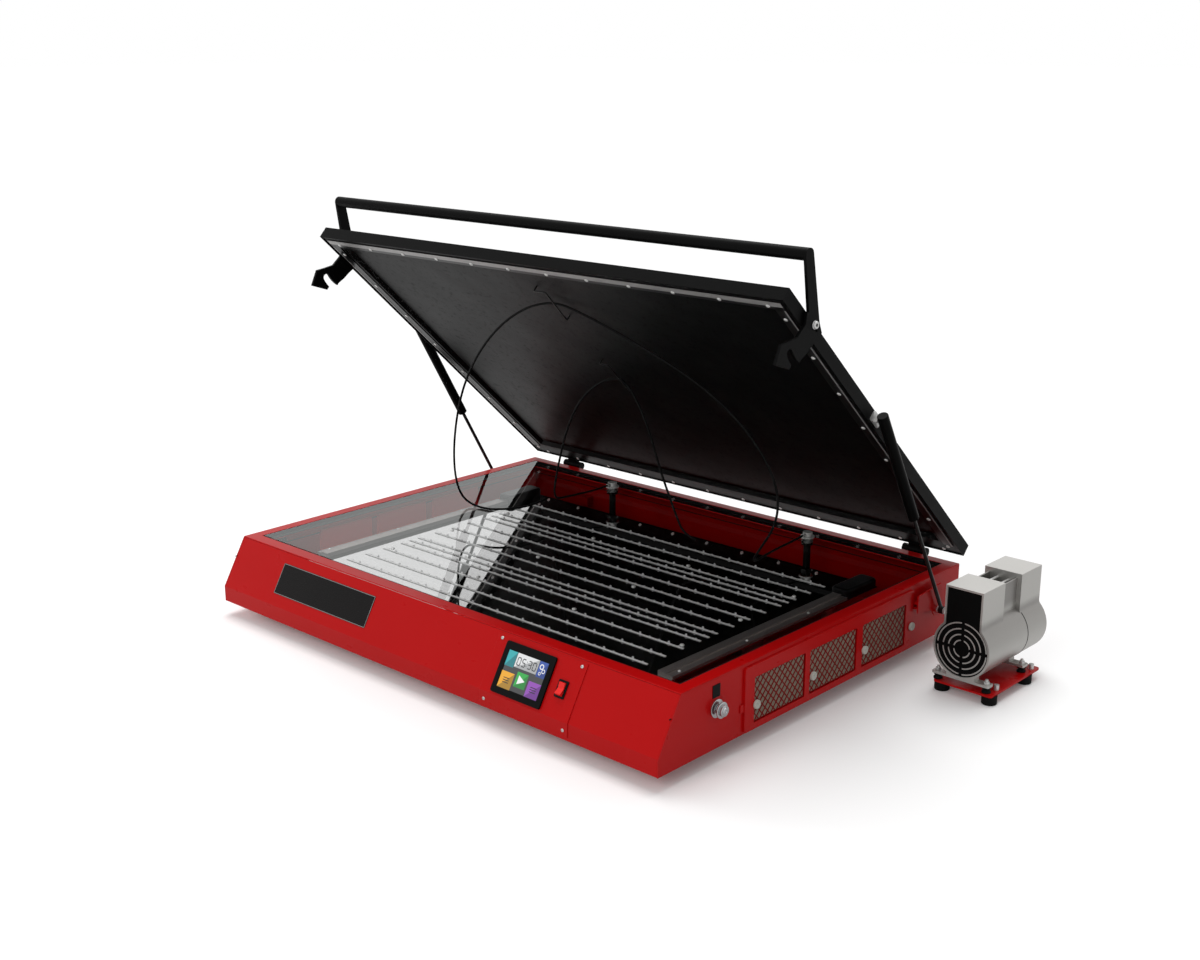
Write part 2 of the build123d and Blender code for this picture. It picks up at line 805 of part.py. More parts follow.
with BuildPart() as vent_knobs:
    for side in (-1, 1):
        with BuildSketch(side_plane(side * (half_width + vent_cover_thickness))):
            with Locations(*[(y, knob_z) for y in knob_ys]):
                Circle(knob_radius)
        extrude(amount=side * knob_thickness)
        with BuildSketch(side_plane(side * (half_width + vent_cover_hollow))):
            with Locations(*[(y, knob_z) for y in knob_ys]):
                Circle(knob_stem_radius)
        extrude(amount=side * (vent_cover_thickness - vent_cover_hollow))
vent_knobs.part.label = "vent_knobs"
export_step(vent_knobs.part, "parts/vent_knobs.step")

hook_inner = half_width + lid_overhang_side + arm_gap
hook_outer = hook_inner + arm_thickness
latch_washer_thickness = 2.5
with BuildPart() as latch_pins:
    for side in (-1, 1):
        with BuildSketch(side_plane(side * (half_width - 8))):
            with Locations((latch_y, latch_z)):
                Circle(latch_shaft_radius)
        extrude(amount=side * (8 + hook_outer - half_width + 1 + 10))
        with BuildSketch(side_plane(side * half_width)):
            with Locations((latch_y, latch_z)):
                Circle(latch_washer_radius)
        extrude(amount=side * latch_washer_thickness)
        with BuildSketch(side_plane(side * (hook_outer + 1))):
            with Locations((latch_y, latch_z)):
                Circle(latch_washer_radius - 2)
        extrude(amount=side * latch_washer_thickness)
        with BuildSketch(side_plane(side * (hook_outer + 1 + latch_washer_thickness))):
            with Locations((latch_y, latch_z)):
                RegularPolygon(11, 6)
        extrude(amount=side * 6)
        with BuildSketch(side_plane(side * (half_width - sheet))):
            with Locations((latch_y, latch_z)):
                RegularPolygon(11, 6)
        extrude(amount=-side * 6)
latch_pins.part.label = "latch_pins"
export_step(latch_pins.part, "parts/latch_pins.step")

with BuildPart() as sensor_windows:
    for side in (-1, 1):
        with BuildSketch(side_plane(side * half_width)):
            with Locations((sensor_y, sensor_z)):
                Rectangle(sensor_width, sensor_height)
        extrude(amount=side * 1)
        with BuildSketch(side_plane(side * half_width)):
            with Locations((sensor_y, sensor_z)):
                Rectangle(sensor_width - 4, sensor_height - 4)
        extrude(amount=-side * 12)
sensor_windows.part.label = "sensor_windows"
export_step(sensor_windows.part, "parts/sensor_windows.step")

# ================================================================ strut brackets on the side walls

bracket_outer = strut_x - 9
bracket_outline = [
    (strut_foot_y - 78, rim_top - 22),
    (strut_foot_y + 8, rim_top - 16),
    (strut_foot_y + 16, strut_foot_z + 4),
    (strut_foot_y + 8, strut_foot_z - 12),
    (strut_foot_y - 10, strut_foot_z - 12),
    (strut_foot_y - 26, strut_foot_z + 4),
    (strut_foot_y - 78, strut_foot_z + 12),
]
with BuildPart() as strut_brackets:
    for side in (-1, 1):
        with BuildSketch(side_plane(side * (bracket_outer - 3))):
            with BuildLine():
                Polyline(*bracket_outline, close=True)
            make_face()
        extrude(amount=side * 3)
        with BuildSketch(side_plane(side * half_width)):
            with Locations((strut_foot_y - 36, rim_top - 40)):
                Rectangle(78, 4)
            with Locations((strut_foot_y - 40, strut_foot_z + 20)):
                Rectangle(70, 4)
        extrude(amount=side * (bracket_outer - 3 - half_width))
strut_brackets.part.label = "strut_brackets"
export_step(strut_brackets.part, "parts/strut_brackets.step")

eye_thickness = 10
stud_gap = 0.3
with BuildPart() as strut_lower_studs:
    for side in (-1, 1):
        with BuildSketch(side_plane(side * bracket_outer)):
            with Locations((strut_foot_y, strut_foot_z)):
                Circle(strut_stud_radius)
        extrude(amount=side * (strut_x + eye_thickness / 2 + 4 - bracket_outer))
        with BuildSketch(side_plane(side * bracket_outer)):
            with Locations((strut_foot_y, strut_foot_z)):
                Circle(strut_stud_radius + 3)
        extrude(amount=side * (strut_x - eye_thickness / 2 - stud_gap - bracket_outer))
        with BuildSketch(side_plane(side * (strut_x + eye_thickness / 2 + stud_gap))):
            with Locations((strut_foot_y, strut_foot_z)):
                Circle(strut_stud_radius + 3)
        extrude(amount=side * 4)
strut_lower_studs.part.label = "strut_lower_studs"
export_step(strut_lower_studs.part, "parts/strut_lower_studs.step")

# ================================================================ lid, made in its open place

lid_width = cabinet_width + 2 * lid_overhang_side
lid_front = rim_front_y - lid_overhang_front
lid_rear = rear_y + lid_overhang_rear
lid_length = lid_rear - lid_front
lid_mid_y = (lid_front + lid_rear) / 2
lid_bottom = rim_top + lid_rim_gap
lid_top = lid_bottom + lid_thickness
hinge_y = rear_y + hinge_axis_behind
hinge_z = rim_top - hinge_axis_below
pivot_y = lid_front + pivot_from_front
pivot_z = lid_bottom + pivot_above_underside
lid_side_x = lid_width / 2
turn_cos = cos(radians(open_angle))
turn_sin = sin(radians(open_angle))


def opened(x, y, z):
    """Where a point of the closed lid lies with the lid open."""
    along = y - hinge_y
    up = z - hinge_z
    return (x, hinge_y + along * turn_cos + up * turn_sin, hinge_z - along * turn_sin + up * turn_cos)


def lid_level(z):
    """A plane of the lid at height z of the closed lid, sketched in the closed lid's (x, y)."""
    return Plane(origin=opened(0, 0, z), x_dir=(1, 0, 0), z_dir=(0, turn_sin, turn_cos))


def lid_side(x):
    """A plane of the lid facing right at x, sketched in the closed lid's (y, z)."""
    return Plane(origin=opened(x, 0, 0), x_dir=(0, turn_cos, -turn_sin), z_dir=(1, 0, 0))


with BuildPart() as lid_panel:
    with BuildSketch(lid_level(lid_bottom)):
        with Locations((0, lid_mid_y)):
            Rectangle(lid_width, lid_length)
    extrude(amount=lid_thickness)
    with BuildSketch(lid_level(lid_bottom)):
        with Locations((0, lid_mid_y)):
            Rectangle(lid_width - 2 * lid_sheet, lid_length - 2 * lid_sheet)
    extrude(amount=lid_thickness - lid_sheet, mode=Mode.SUBTRACT)
    with BuildSketch(lid_side(-lid_side_x)):
        with Locations((pivot_y, pivot_z)):
            Circle(pivot_bolt_radius)
    extrude(amount=lid_width, mode=Mode.SUBTRACT)
lid_panel.part.label = "lid_panel"
export_step(lid_panel.part, "parts/lid_panel.step")

flange_z = lid_bottom + lid_flange_recess
flange_sheet = 3
inner_width = lid_width - 2 * lid_sheet
inner_length = lid_length - 2 * lid_sheet
frame_inner_width = lid_width - 2 * lid_flange
frame_inner_length = lid_length - 2 * lid_flange
with BuildPart() as lid_frame:
    with BuildSketch(lid_level(flange_z)):
        with Locations((0, lid_mid_y)):
            Rectangle(inner_width, inner_length)
    extrude(amount=lid_top - lid_sheet - flange_z)
    with BuildSketch(lid_level(flange_z + flange_sheet)):
        with Locations((0, lid_mid_y)):
            Rectangle(inner_width, inner_length)
            Rectangle(
                frame_inner_width + 2 * flange_sheet,
                frame_inner_length + 2 * flange_sheet,
                mode=Mode.SUBTRACT,
            )
    extrude(amount=lid_top - lid_sheet - flange_z, mode=Mode.SUBTRACT)
    with BuildSketch(lid_level(flange_z)):
        with Locations((0, lid_mid_y)):
            Rectangle(frame_inner_width, frame_inner_length)
    extrude(amount=lid_thickness, mode=Mode.SUBTRACT)
lid_frame.part.label = "lid_frame"
export_step(lid_frame.part, "parts/lid_frame.step")

blanket_edge = 3  # the blanket's edge is this far inside the lid's
blanket_bottom = flange_z - blanket_thickness
blanket_rise = blanket_recess - (blanket_bottom - lid_bottom)
pan_inset = lid_flange + 2
pan_slope = 45
with BuildPart() as rubber_blanket:
    with BuildSketch(lid_level(blanket_bottom)):
        with Locations((0, lid_mid_y)):
            Rectangle(inner_width - 2 * blanket_edge, inner_length - 2 * blanket_edge)
    extrude(amount=blanket_thickness)
    with BuildSketch(lid_level(blanket_bottom)):
        with Locations((0, lid_mid_y)):
            Rectangle(lid_width - 2 * pan_inset, lid_length - 2 * pan_inset)
    extrude(amount=blanket_rise + blanket_thickness, taper=pan_slope)
    pan_wall = blanket_thickness * 1.4
    with BuildSketch(lid_level(blanket_bottom)):
        with Locations((0, lid_mid_y)):
            Rectangle(
                lid_width - 2 * (pan_inset + pan_wall),
                lid_length - 2 * (pan_inset + pan_wall),
            )
    extrude(amount=blanket_rise, taper=pan_slope, mode=Mode.SUBTRACT)
rubber_blanket.part.label = "rubber_blanket"
export_step(rubber_blanket.part, "parts/rubber_blanket.step")

strip_bottom = blanket_bottom - clamp_strip_thickness
side_strip_x = lid_width / 2 - clamp_strip_inset - clamp_strip_width / 2
front_strip_y = lid_front + clamp_strip_inset + clamp_strip_width / 2
side_strip_front = front_strip_y + clamp_strip_width / 2 + 0.3
side_strip_rear = lid_rear - 18
with BuildPart() as clamp_strips:
    with BuildSketch(lid_level(strip_bottom)):
        with Locations((0, front_strip_y)):
            Rectangle(2 * side_strip_x + clamp_strip_width, clamp_strip_width)
        with Locations(
            (-side_strip_x, (side_strip_front + side_strip_rear) / 2),
            (side_strip_x, (side_strip_front + side_strip_rear) / 2),
        ):
            Rectangle(clamp_strip_width, side_strip_rear - side_strip_front)
    extrude(amount=clamp_strip_thickness)
clamp_strips.part.label = "clamp_strips"
export_step(clamp_strips.part, "parts/clamp_strips.step")

front_screw_span = lid_width - 2 * front_screw_side_gap
front_screw_pitch = front_screw_span / (front_screw_count - 1)
front_screw_xs = [front_screw_pitch * i - front_screw_span / 2 for i in range(front_screw_count)]
side_screw_span = lid_length - side_screw_rear_gap - side_screw_front_gap
side_screw_pitch = side_screw_span / (side_screw_count - 1)
side_screw_ys = [
    lid_rear - side_screw_rear_gap - side_screw_pitch * i for i in range(side_screw_count)
]
side_screw_x = lid_width / 2 - clamp_screw_inset
screw_places = [(x, lid_front + clamp_screw_inset) for x in front_screw_xs]
screw_places += [(side * side_screw_x, y) for y in side_screw_ys for side in (-1, 1)]
rear_screw_places = [(x, lid_rear - rear_screw_inset) for x in front_screw_xs]
with BuildPart() as clamp_screws:
    with BuildSketch(lid_level(strip_bottom - clamp_screw_height)):
        with Locations(*screw_places):
            Circle(clamp_screw_radius)
    extrude(amount=clamp_screw_height)
    with BuildSketch(lid_level(blanket_bottom - clamp_screw_height)):
        with Locations(*rear_screw_places):
            Circle(clamp_screw_radius)
    extrude(amount=clamp_screw_height)
clamp_screws.part.label = "clamp_screws"
export_step(clamp_screws.part, "parts/clamp_screws.step")

# Bent wire loops under the blanket that hold the two cords up, in the closed lid's places.
wire_radius = 1.6
blanket_face = lid_bottom + blanket_recess
wire_z = rim_top + 0.5 + wire_radius
front_wire = [(-31, -332), (2, -334), (-7, -237)]
rear_wire = [(-28, -73), (-3, -72), (-8, 27)]
with BuildPart() as cord_hooks:
    for foot, corner, tip in (front_wire, rear_wire):
        with BuildLine():
            wire_path = FilletPolyline(
                opened(*foot, blanket_face),
                opened(*foot, wire_z),
                opened(*corner, wire_z),
                opened(*tip, wire_z),
                opened(*tip, blanket_face),
                radius=4,
            )
        with BuildSketch(Plane(origin=wire_path @ 0, z_dir=wire_path % 0)):
            Circle(wire_radius)
        sweep()
cord_hooks.part.label = "cord_hooks"
export_step(cord_hooks.part, "parts/cord_hooks.step")

# ================================================================ hinges

leaf_top_z = lid_bottom + 20
with BuildPart() as hinge_brackets:
    for side in (-1, 1):
        middle = side * hinge_x
        with BuildSketch(side_plane(middle - hinge_length / 2)):
            with Locations((hinge_y, hinge_z)):
                Circle(hinge_pin_radius)
        extrude(amount=hinge_length)
        for place in (middle - hinge_length / 2, middle + hinge_length / 2 - hinge_length / 4):
            with BuildSketch(side_plane(place)):
                with Locations((hinge_y, hinge_z)):
                    Circle(hinge_barrel_radius)
                with BuildLine():
                    Polyline(
                        (rear_y, hinge_z - 44),
                        (rear_y + hinge_leaf, hinge_z - 44),
                        (rear_y + hinge_leaf, hinge_z - 22),
                        (hinge_y + hinge_barrel_radius, hinge_z),
                        (hinge_y, hinge_z),
                        (rear_y, hinge_z - 8),
                        close=True,
                    )
                make_face()
            extrude(amount=hinge_length / 4)
        with BuildSketch(side_plane(middle - hinge_length / 2)):
            with Locations((rear_y + hinge_leaf / 2, hinge_z - 33)):
                Rectangle(hinge_leaf, 22)
        extrude(amount=hinge_length)
hinge_brackets.part.label = "hinge_brackets"
export_step(hinge_brackets.part, "parts/hinge_brackets.step")

knuckle_length = hinge_length / 2 - 1
with BuildPart() as lid_hinge_leaves:
    for side in (-1, 1):
        middle = side * hinge_x
        with BuildSketch(lid_side(middle - knuckle_length / 2)):
            with Locations((hinge_y, hinge_z)):
                Circle(hinge_barrel_radius)
            with BuildLine():
                Polyline(
                    (lid_rear, lid_bottom + 2),
                    (lid_rear, leaf_top_z),
                    (lid_rear + hinge_leaf, leaf_top_z),
                    (hinge_y + hinge_barrel_radius, hinge_z),
                    (hinge_y, hinge_z - 2),
                    close=True,
                )
            make_face()
            with Locations((hinge_y, hinge_z)):
                Circle(hinge_pin_radius + running_fit, mode=Mode.SUBTRACT)
        extrude(amount=knuckle_length)
lid_hinge_leaves.part.label = "lid_hinge_leaves"
export_step(lid_hinge_leaves.part, "parts/lid_hinge_leaves.step")

# ================================================================ handle on the lid

bolt_clearance = 0.3
with BuildPart() as handle_pivot_bolts:
    for side in (-1, 1):
        with BuildSketch(lid_side(side * (lid_side_x - lid_sheet - 6))):
            with Locations((pivot_y, pivot_z)):
                Circle(pivot_bolt_radius)
        extrude(amount=side * (lid_sheet + 6 + hook_outer + bolt_clearance + 5 - lid_side_x))
        with BuildSketch(lid_side(side * lid_side_x)):
            with Locations((pivot_y, pivot_z)):
                Circle(6.4)
        extrude(amount=side * (arm_gap - bolt_clearance))
        with BuildSketch(lid_side(side * (hook_outer + bolt_clearance))):
            with Locations((pivot_y, pivot_z)):
                Circle(9)
        extrude(amount=side * 1.2)
        with BuildSketch(lid_side(side * (hook_outer + bolt_clearance + 1.2))):
            with Locations((pivot_y, pivot_z)):
                RegularPolygon(7.5, 6)
        extrude(amount=side * 4)
        with BuildSketch(lid_side(side * (lid_side_x - lid_sheet))):
            with Locations((pivot_y, pivot_z)):
                Rectangle(20, 2 * pivot_bolt_radius)
        extrude(amount=-side * 6)
handle_pivot_bolts.part.label = "handle_pivot_bolts"
export_step(handle_pivot_bolts.part, "parts/handle_pivot_bolts.step")

# The hook's outline, from the pivot, with the lid closed and the handle up.
hook_outline = [
    (28.5, 2.4),
    (19.5, -31.8),
    (16.4, -48.5),
    (10.3, -67.9),
    (12, -74),
    (-5.5, -80),
    (-5.5, -97),
    (-43.6, -114.1),
    (-54.5, -80.1),
    (-40.6, -63.4),
    (-25.9, -44.4),
    (-22.4, -14.4),
    (-34.1, 3.5),
    (-8.8, 11.5),
    (8.8, 11.5),
]
slot_radius = hypot(latch_y - pivot_y, latch_z - pivot_z)
slot_half_width = latch_shaft_radius + 1.5
pin_bearing = degrees(atan2(latch_z - pivot_z, latch_y - pivot_y))
slot_end = pin_bearing - latch_swing
slot_sweep = 45
arm_length = hypot(handle_forward, handle_up)
arm_side = (handle_up / arm_length, handle_forward / arm_length)
arm_outline = [
    (arm_side[0] * arm_half_width, arm_side[1] * arm_half_width),
    (arm_side[0] * handle_tube_radius - handle_forward, arm_side[1] * handle_tube_radius + handle_up),
    (-arm_side[0] * handle_tube_radius - handle_forward, -arm_side[1] * handle_tube_radius + handle_up),
    (-arm_side[0] * arm_half_width, -arm_side[1] * arm_half_width),
]
latch_slot = curved_slot(slot_radius, slot_end, slot_sweep, 2 * slot_half_width)
stop_screw = (13.6, -1.6)
with BuildPart() as handle_arms:
    for side in (-1, 1):
        with BuildSketch(lid_side(side * hook_inner)):
            with Locations((pivot_y, pivot_z)):
                with BuildLine():
                    Polyline(*[(pivot_y + y, pivot_z + z) for y, z in hook_outline], close=True)
                make_face()
                Circle(arm_half_width)
                with BuildLine():
                    Polyline(*[(pivot_y + y, pivot_z + z) for y, z in arm_outline], close=True)
                make_face()
            with Locations((pivot_y - handle_forward, pivot_z + handle_up)):
                Circle(handle_tube_radius)
            with Locations((pivot_y, pivot_z)):
                Circle(pivot_bolt_radius + running_fit, mode=Mode.SUBTRACT)
                add(latch_slot, mode=Mode.SUBTRACT)
        extrude(amount=side * arm_thickness)
        with BuildSketch(lid_side(side * hook_outer)):
            with Locations((pivot_y + stop_screw[0], pivot_z + stop_screw[1])):
                Circle(3.4)
        extrude(amount=side * 2)
handle_arms.part.label = "handle_arms"
export_step(handle_arms.part, "parts/handle_arms.step")

with BuildPart() as handle_tube:
    with BuildSketch(lid_side(-hook_inner)):
        with Locations((pivot_y - handle_forward, pivot_z + handle_up)):
            Circle(handle_tube_radius)
            Circle(handle_tube_radius - 2.5, mode=Mode.SUBTRACT)
    extrude(amount=2 * hook_inner)
handle_tube.part.label = "handle_tube"
export_step(handle_tube.part, "parts/handle_tube.step")

# ================================================================ gas struts

strut_top_y = lid_rear - strut_lid_along
strut_top_z = lid_bottom + strut_lid_up
strut_head = opened(strut_x, strut_top_y, strut_top_z)
strut_length = hypot(strut_head[1] - strut_foot_y, strut_head[2] - strut_foot_z)
strut_dir = (
    0,
    (strut_head[1] - strut_foot_y) / strut_length,
    (strut_head[2] - strut_foot_z) / strut_length,
)
lid_stud_gap = 0.4
with BuildPart() as strut_upper_studs:
    for side in (-1, 1):
        with BuildSketch(lid_side(side * lid_side_x)):
            with Locations((strut_top_y, strut_top_z)):
                RectangleRounded(34, 20, 4)
        extrude(amount=side * 3)
        with BuildSketch(lid_side(side * (lid_side_x + 3))):
            with Locations((strut_top_y, strut_top_z)):
                Circle(6)
        extrude(amount=side * (strut_x - strut_tube_radius - lid_stud_gap - lid_side_x - 3))
strut_upper_studs.part.label = "strut_upper_studs"
export_step(strut_upper_studs.part, "parts/strut_upper_studs.step")

rod_reach = 310
piston_radius = 8.5
piston_length = 12
eye_radius = 8


def strut_plane(x, along):
    """A plane across the strut at x, this far up from its lower pivot."""
    origin = (x, strut_foot_y + strut_dir[1] * along, strut_foot_z + strut_dir[2] * along)
    return Plane(origin=origin, x_dir=(1, 0, 0), z_dir=strut_dir)


def strut_rod(x):
    """The rod, its eye on the lower stud and the piston at its upper end."""
    with BuildPart() as rod:
        with BuildSketch(strut_plane(x, 0)):
            Circle(strut_rod_radius)
        extrude(amount=rod_reach)
        with BuildSketch(side_plane(x - eye_thickness / 2)):
            with Locations((strut_foot_y, strut_foot_z)):
                Circle(eye_radius)
        extrude(amount=eye_thickness)
        with BuildSketch(strut_plane(x, rod_reach - piston_length)):
            Circle(piston_radius)
        extrude(amount=piston_length)
        with BuildSketch(side_plane(x - eye_thickness)):
            with Locations((strut_foot_y, strut_foot_z)):
                Circle(strut_stud_radius + running_fit)
        extrude(amount=2 * eye_thickness, mode=Mode.SUBTRACT)
    return rod


cap_length = 26
cap_beyond = 13
gland_length = 16
tube_bore = 9
tube_foot = strut_length + cap_beyond - strut_tube_length


def strut_tube(x):
    """The tube with its gland at the foot and its cap at the lid."""
    with BuildPart() as tube:
        with BuildSketch(strut_plane(x, tube_foot)):
            Circle(strut_tube_radius)
        extrude(amount=strut_tube_length)
        with BuildSketch(strut_plane(x, tube_foot)):
            Circle(strut_rod_radius + running_fit)
        extrude(amount=gland_length, mode=Mode.SUBTRACT)
        with BuildSketch(strut_plane(x, tube_foot + gland_length)):
            Circle(tube_bore)
        extrude(amount=strut_tube_length - gland_length - cap_length, mode=Mode.SUBTRACT)
        fillet(tube.faces().sort_by(Axis.Z)[-1].edges(), radius=1.5)
    return tube


right_strut_rod = strut_rod(strut_x)
right_strut_rod.part.label = "right_strut_rod"
export_step(right_strut_rod.part, "parts/right_strut_rod.step")
left_strut_rod = strut_rod(-strut_x)
left_strut_rod.part.label = "left_strut_rod"
export_step(left_strut_rod.part, "parts/left_strut_rod.step")
right_strut_tube = strut_tube(strut_x)
right_strut_tube.part.label = "right_strut_tube"
export_step(right_strut_tube.part, "parts/right_strut_tube.step")
left_strut_tube = strut_tube(-strut_x)
left_strut_tube.part.label = "left_strut_tube"
export_step(left_strut_tube.part, "parts/left_strut_tube.step")

# ================================================================ pump beside the cabinet

neck_fillet = 10
front_box_end = pump_front + pump_head_length
rear_box_start = front_box_end + pump_gap
pump_rear = pump_front + pump_length
neck_wall_x = 31
neck_wall_top = 212
shaft_radius = 6


def keyhole(inset):
    """The pump's outline, a round barrel with a square head, drawn in (x, z)."""
    with BuildSketch(Plane.XY) as outline:
        Circle(pump_barrel_radius - inset)
        with Locations((0, (pump_top - pump_barrel_z - inset) / 2)):
            Rectangle(pump_head_width - 2 * inset, pump_top - pump_barrel_z - inset)
        inner_corners = outline.vertices().filter_by_position(Axis.Y, 20, pump_barrel_radius)
        fillet(inner_corners, radius=neck_fillet)
    return outline.sketch


outer_keyhole = keyhole(0)
inner_keyhole = keyhole(pump_wall)
with BuildPart() as pump_casing:
    for start, end in ((pump_front, front_box_end), (rear_box_start, pump_rear)):
        with BuildSketch(front_plane(end)):
            with Locations((pump_x, pump_barrel_z)):
                add(outer_keyhole)
        extrude(amount=end - start)
    with BuildSketch(front_plane(rear_box_start)):
        with Locations((pump_x, pump_barrel_z)):
            Circle(pump_barrel_radius)
        with Locations((pump_x, (pump_barrel_z + neck_wall_top) / 2)):
            Rectangle(2 * neck_wall_x, neck_wall_top - pump_barrel_z)
            Rectangle(2 * neck_wall_x - 6, neck_wall_top, mode=Mode.SUBTRACT)
        with Locations((pump_x, pump_barrel_z)):
            Circle(pump_barrel_radius)
    extrude(amount=pump_gap)
    with BuildSketch(front_plane(front_box_end - pump_wall)):
        with Locations((pump_x, pump_barrel_z)):
            add(inner_keyhole)
    extrude(amount=pump_head_length, mode=Mode.SUBTRACT)
    with BuildSketch(front_plane(pump_rear)):
        with Locations((pump_x, pump_barrel_z)):
            add(inner_keyhole)
    extrude(amount=pump_head_length - pump_wall, mode=Mode.SUBTRACT)
    with BuildSketch(front_plane(rear_box_start)):
        with Locations((pump_x, pump_barrel_z)):
            Circle(pump_barrel_radius - pump_wall)
    extrude(amount=pump_gap, mode=Mode.SUBTRACT)
    with BuildSketch(front_plane(pump_rear)):
        with Locations((pump_x, pump_barrel_z)):
            Circle(shaft_radius + running_fit)
    extrude(amount=pump_length, mode=Mode.SUBTRACT)
pump_casing.part.label = "pump_casing"
export_step(pump_casing.part, "parts/pump_casing.step")

grille_inset = 2.5
grille_thickness = 3
slot_radii = [52, 40, 28.5, 17]
slot_width = 3
slot_rib = 7
grille_slots = []
for ring_radius in slot_radii:
    rib_angle = degrees(slot_rib / ring_radius)
    for quarter in range(4):
        slot_start = quarter * 90 + rib_angle / 2
        grille_slots.append(curved_slot(ring_radius, slot_start, 90 - rib_angle, slot_width))
with BuildPart() as pump_grilles:
    for start in (pump_front + grille_inset, pump_rear - grille_inset - grille_thickness):
        with BuildSketch(front_plane(start + grille_thickness)):
            with Locations((pump_x, pump_barrel_z)):
                add(inner_keyhole)
                add(grille_slots, mode=Mode.SUBTRACT)
        extrude(amount=grille_thickness)
pump_grilles.part.label = "pump_grilles"
export_step(pump_grilles.part, "parts/pump_grilles.step")

stator_radius = 42
with BuildPart() as pump_motor:
    with BuildSketch(front_plane(rear_box_start)):
        with Locations((pump_x, pump_barrel_z)):
            Circle(stator_radius)
            Circle(shaft_radius + 2, mode=Mode.SUBTRACT)
    extrude(amount=pump_gap)
pump_motor.part.label = "pump_motor"
export_step(pump_motor.part, "parts/pump_motor.step")

fan_radius = 50
fan_gap = 3
fan_depth = 14
fan_blades = 12
with BuildPart() as pump_rotor:
    with BuildSketch(front_plane(pump_rear - grille_inset - grille_thickness - fan_gap)):
        with Locations((pump_x, pump_barrel_z)):
            Circle(shaft_radius)
    extrude(amount=pump_length - 2 * (grille_inset + grille_thickness + fan_gap))
    for start in (
        pump_front + grille_inset + grille_thickness + fan_gap,
        pump_rear - grille_inset - grille_thickness - fan_gap - fan_depth,
    ):
        with BuildSketch(front_plane(start + fan_depth)):
            with Locations((pump_x, pump_barrel_z)):
                Circle(14)
                with PolarLocations(fan_radius / 2 + 5, fan_blades):
                    Rectangle(fan_radius - 10, 3)
        extrude(amount=fan_depth)
        with BuildSketch(front_plane(start + fan_depth / 2 + 1)):
            with Locations((pump_x, pump_barrel_z)):
                Circle(fan_radius)
        extrude(amount=2)
pump_rotor.part.label = "pump_rotor"
export_step(pump_rotor.part, "parts/pump_rotor.step")

barrel_bottom = pump_barrel_z - pump_barrel_radius
plate_top = pump_plate_z
bar_thickness = 5
bar_length = 122
bar_width = 20
bar_ys = [pump_front + 13, pump_front + 150]
bolt_spread = 52
with BuildPart() as pump_brackets:
    for bar_y in bar_ys:
        with BuildSketch(Plane.XY.offset(barrel_bottom - bar_thickness)):
            with Locations((pump_x, bar_y)):
                RectangleRounded(bar_length, bar_width, 3)
        extrude(amount=bar_thickness)
        with BuildSketch(front_plane(bar_y + bar_width / 2)):
            with Locations((pump_x, barrel_bottom + 4)):
                Rectangle(60, 8)
            with Locations((pump_x, pump_barrel_z)):
                Circle(pump_barrel_radius, mode=Mode.SUBTRACT)
        extrude(amount=bar_width)
pump_brackets.part.label = "pump_brackets"
export_step(pump_brackets.part, "parts/pump_brackets.step")

plate_x = pump_x + 7
plate_y = pump_front + pump_plate_length / 2
post_x = plate_x + pump_plate_width / 2 - 9
with BuildPart() as pump_bolts:
    with BuildSketch(Plane.XY.offset(barrel_bottom)):
        for bar_y in bar_ys:
            with Locations((pump_x - bolt_spread, bar_y), (pump_x + bolt_spread, bar_y)):
                RegularPolygon(6, 6)
    extrude(amount=5)
    with BuildSketch(Plane.XY.offset(barrel_bottom + 5)):
        for bar_y in bar_ys:
            with Locations((pump_x - bolt_spread, bar_y), (pump_x + bolt_spread, bar_y)):
                Circle(3)
    extrude(amount=4)
    with BuildSketch(Plane.XY.offset(plate_top)):
        with Locations(*[(post_x, post_y) for post_y in pump_post_ys]):
            Circle(5)
    extrude(amount=11)
    with BuildSketch(front_plane(rear_box_start)):
        with Locations((pump_x - 12, neck_wall_top - 8), (pump_x + 13, neck_wall_top - 8)):
            Circle(3)
    extrude(amount=pump_gap)
pump_bolts.part.label = "pump_bolts"
export_step(pump_bolts.part, "parts/pump_bolts.step")

with BuildPart() as pump_plate:
    with BuildSketch(Plane.XY.offset(plate_top - pump_plate_thickness)):
        with Locations((plate_x, plate_y)):
            RectangleRounded(pump_plate_width, pump_plate_length, 6)
    extrude(amount=pump_plate_thickness)
pump_plate.part.label = "pump_plate"
export_step(pump_plate.part, "parts/pump_plate.step")

isolator_radius = 9
foot_spread = pump_plate_width / 2 - 12
with BuildPart() as pump_rubber_mounts:
    with BuildSketch(Plane.XY):
        for foot_y in pump_foot_ys:
            with Locations((plate_x - foot_spread, foot_y), (plate_x + foot_spread, foot_y)):
                Circle(pump_foot_radius)
    extrude(amount=plate_top - pump_plate_thickness)
    chamfer(pump_rubber_mounts.faces().filter_by(Axis.Z).group_by(Axis.Z)[0].edges(), length=1.5)
    for bar_y in bar_ys:
        for side in (-1, 1):
            middle = pump_x + side * bolt_spread
            waist = (plate_top + barrel_bottom - bar_thickness) / 2
            with BuildSketch(front_plane(bar_y)):
                with BuildLine():
                    Polyline(
                        (middle, plate_top),
                        (middle + isolator_radius, plate_top),
                        (middle + isolator_radius, plate_top + 2.5),
                        (middle + isolator_radius - 3, waist),
                        (middle + isolator_radius, barrel_bottom - bar_thickness - 2.5),
                        (middle + isolator_radius, barrel_bottom - bar_thickness),
                        (middle, barrel_bottom - bar_thickness),
                        close=True,
                    )
                make_face()
            revolve(axis=Axis((middle, bar_y, 0), (0, 0, 1)))
pump_rubber_mounts.part.label = "pump_rubber_mounts"
export_step(pump_rubber_mounts.part, "parts/pump_rubber_mounts.step")

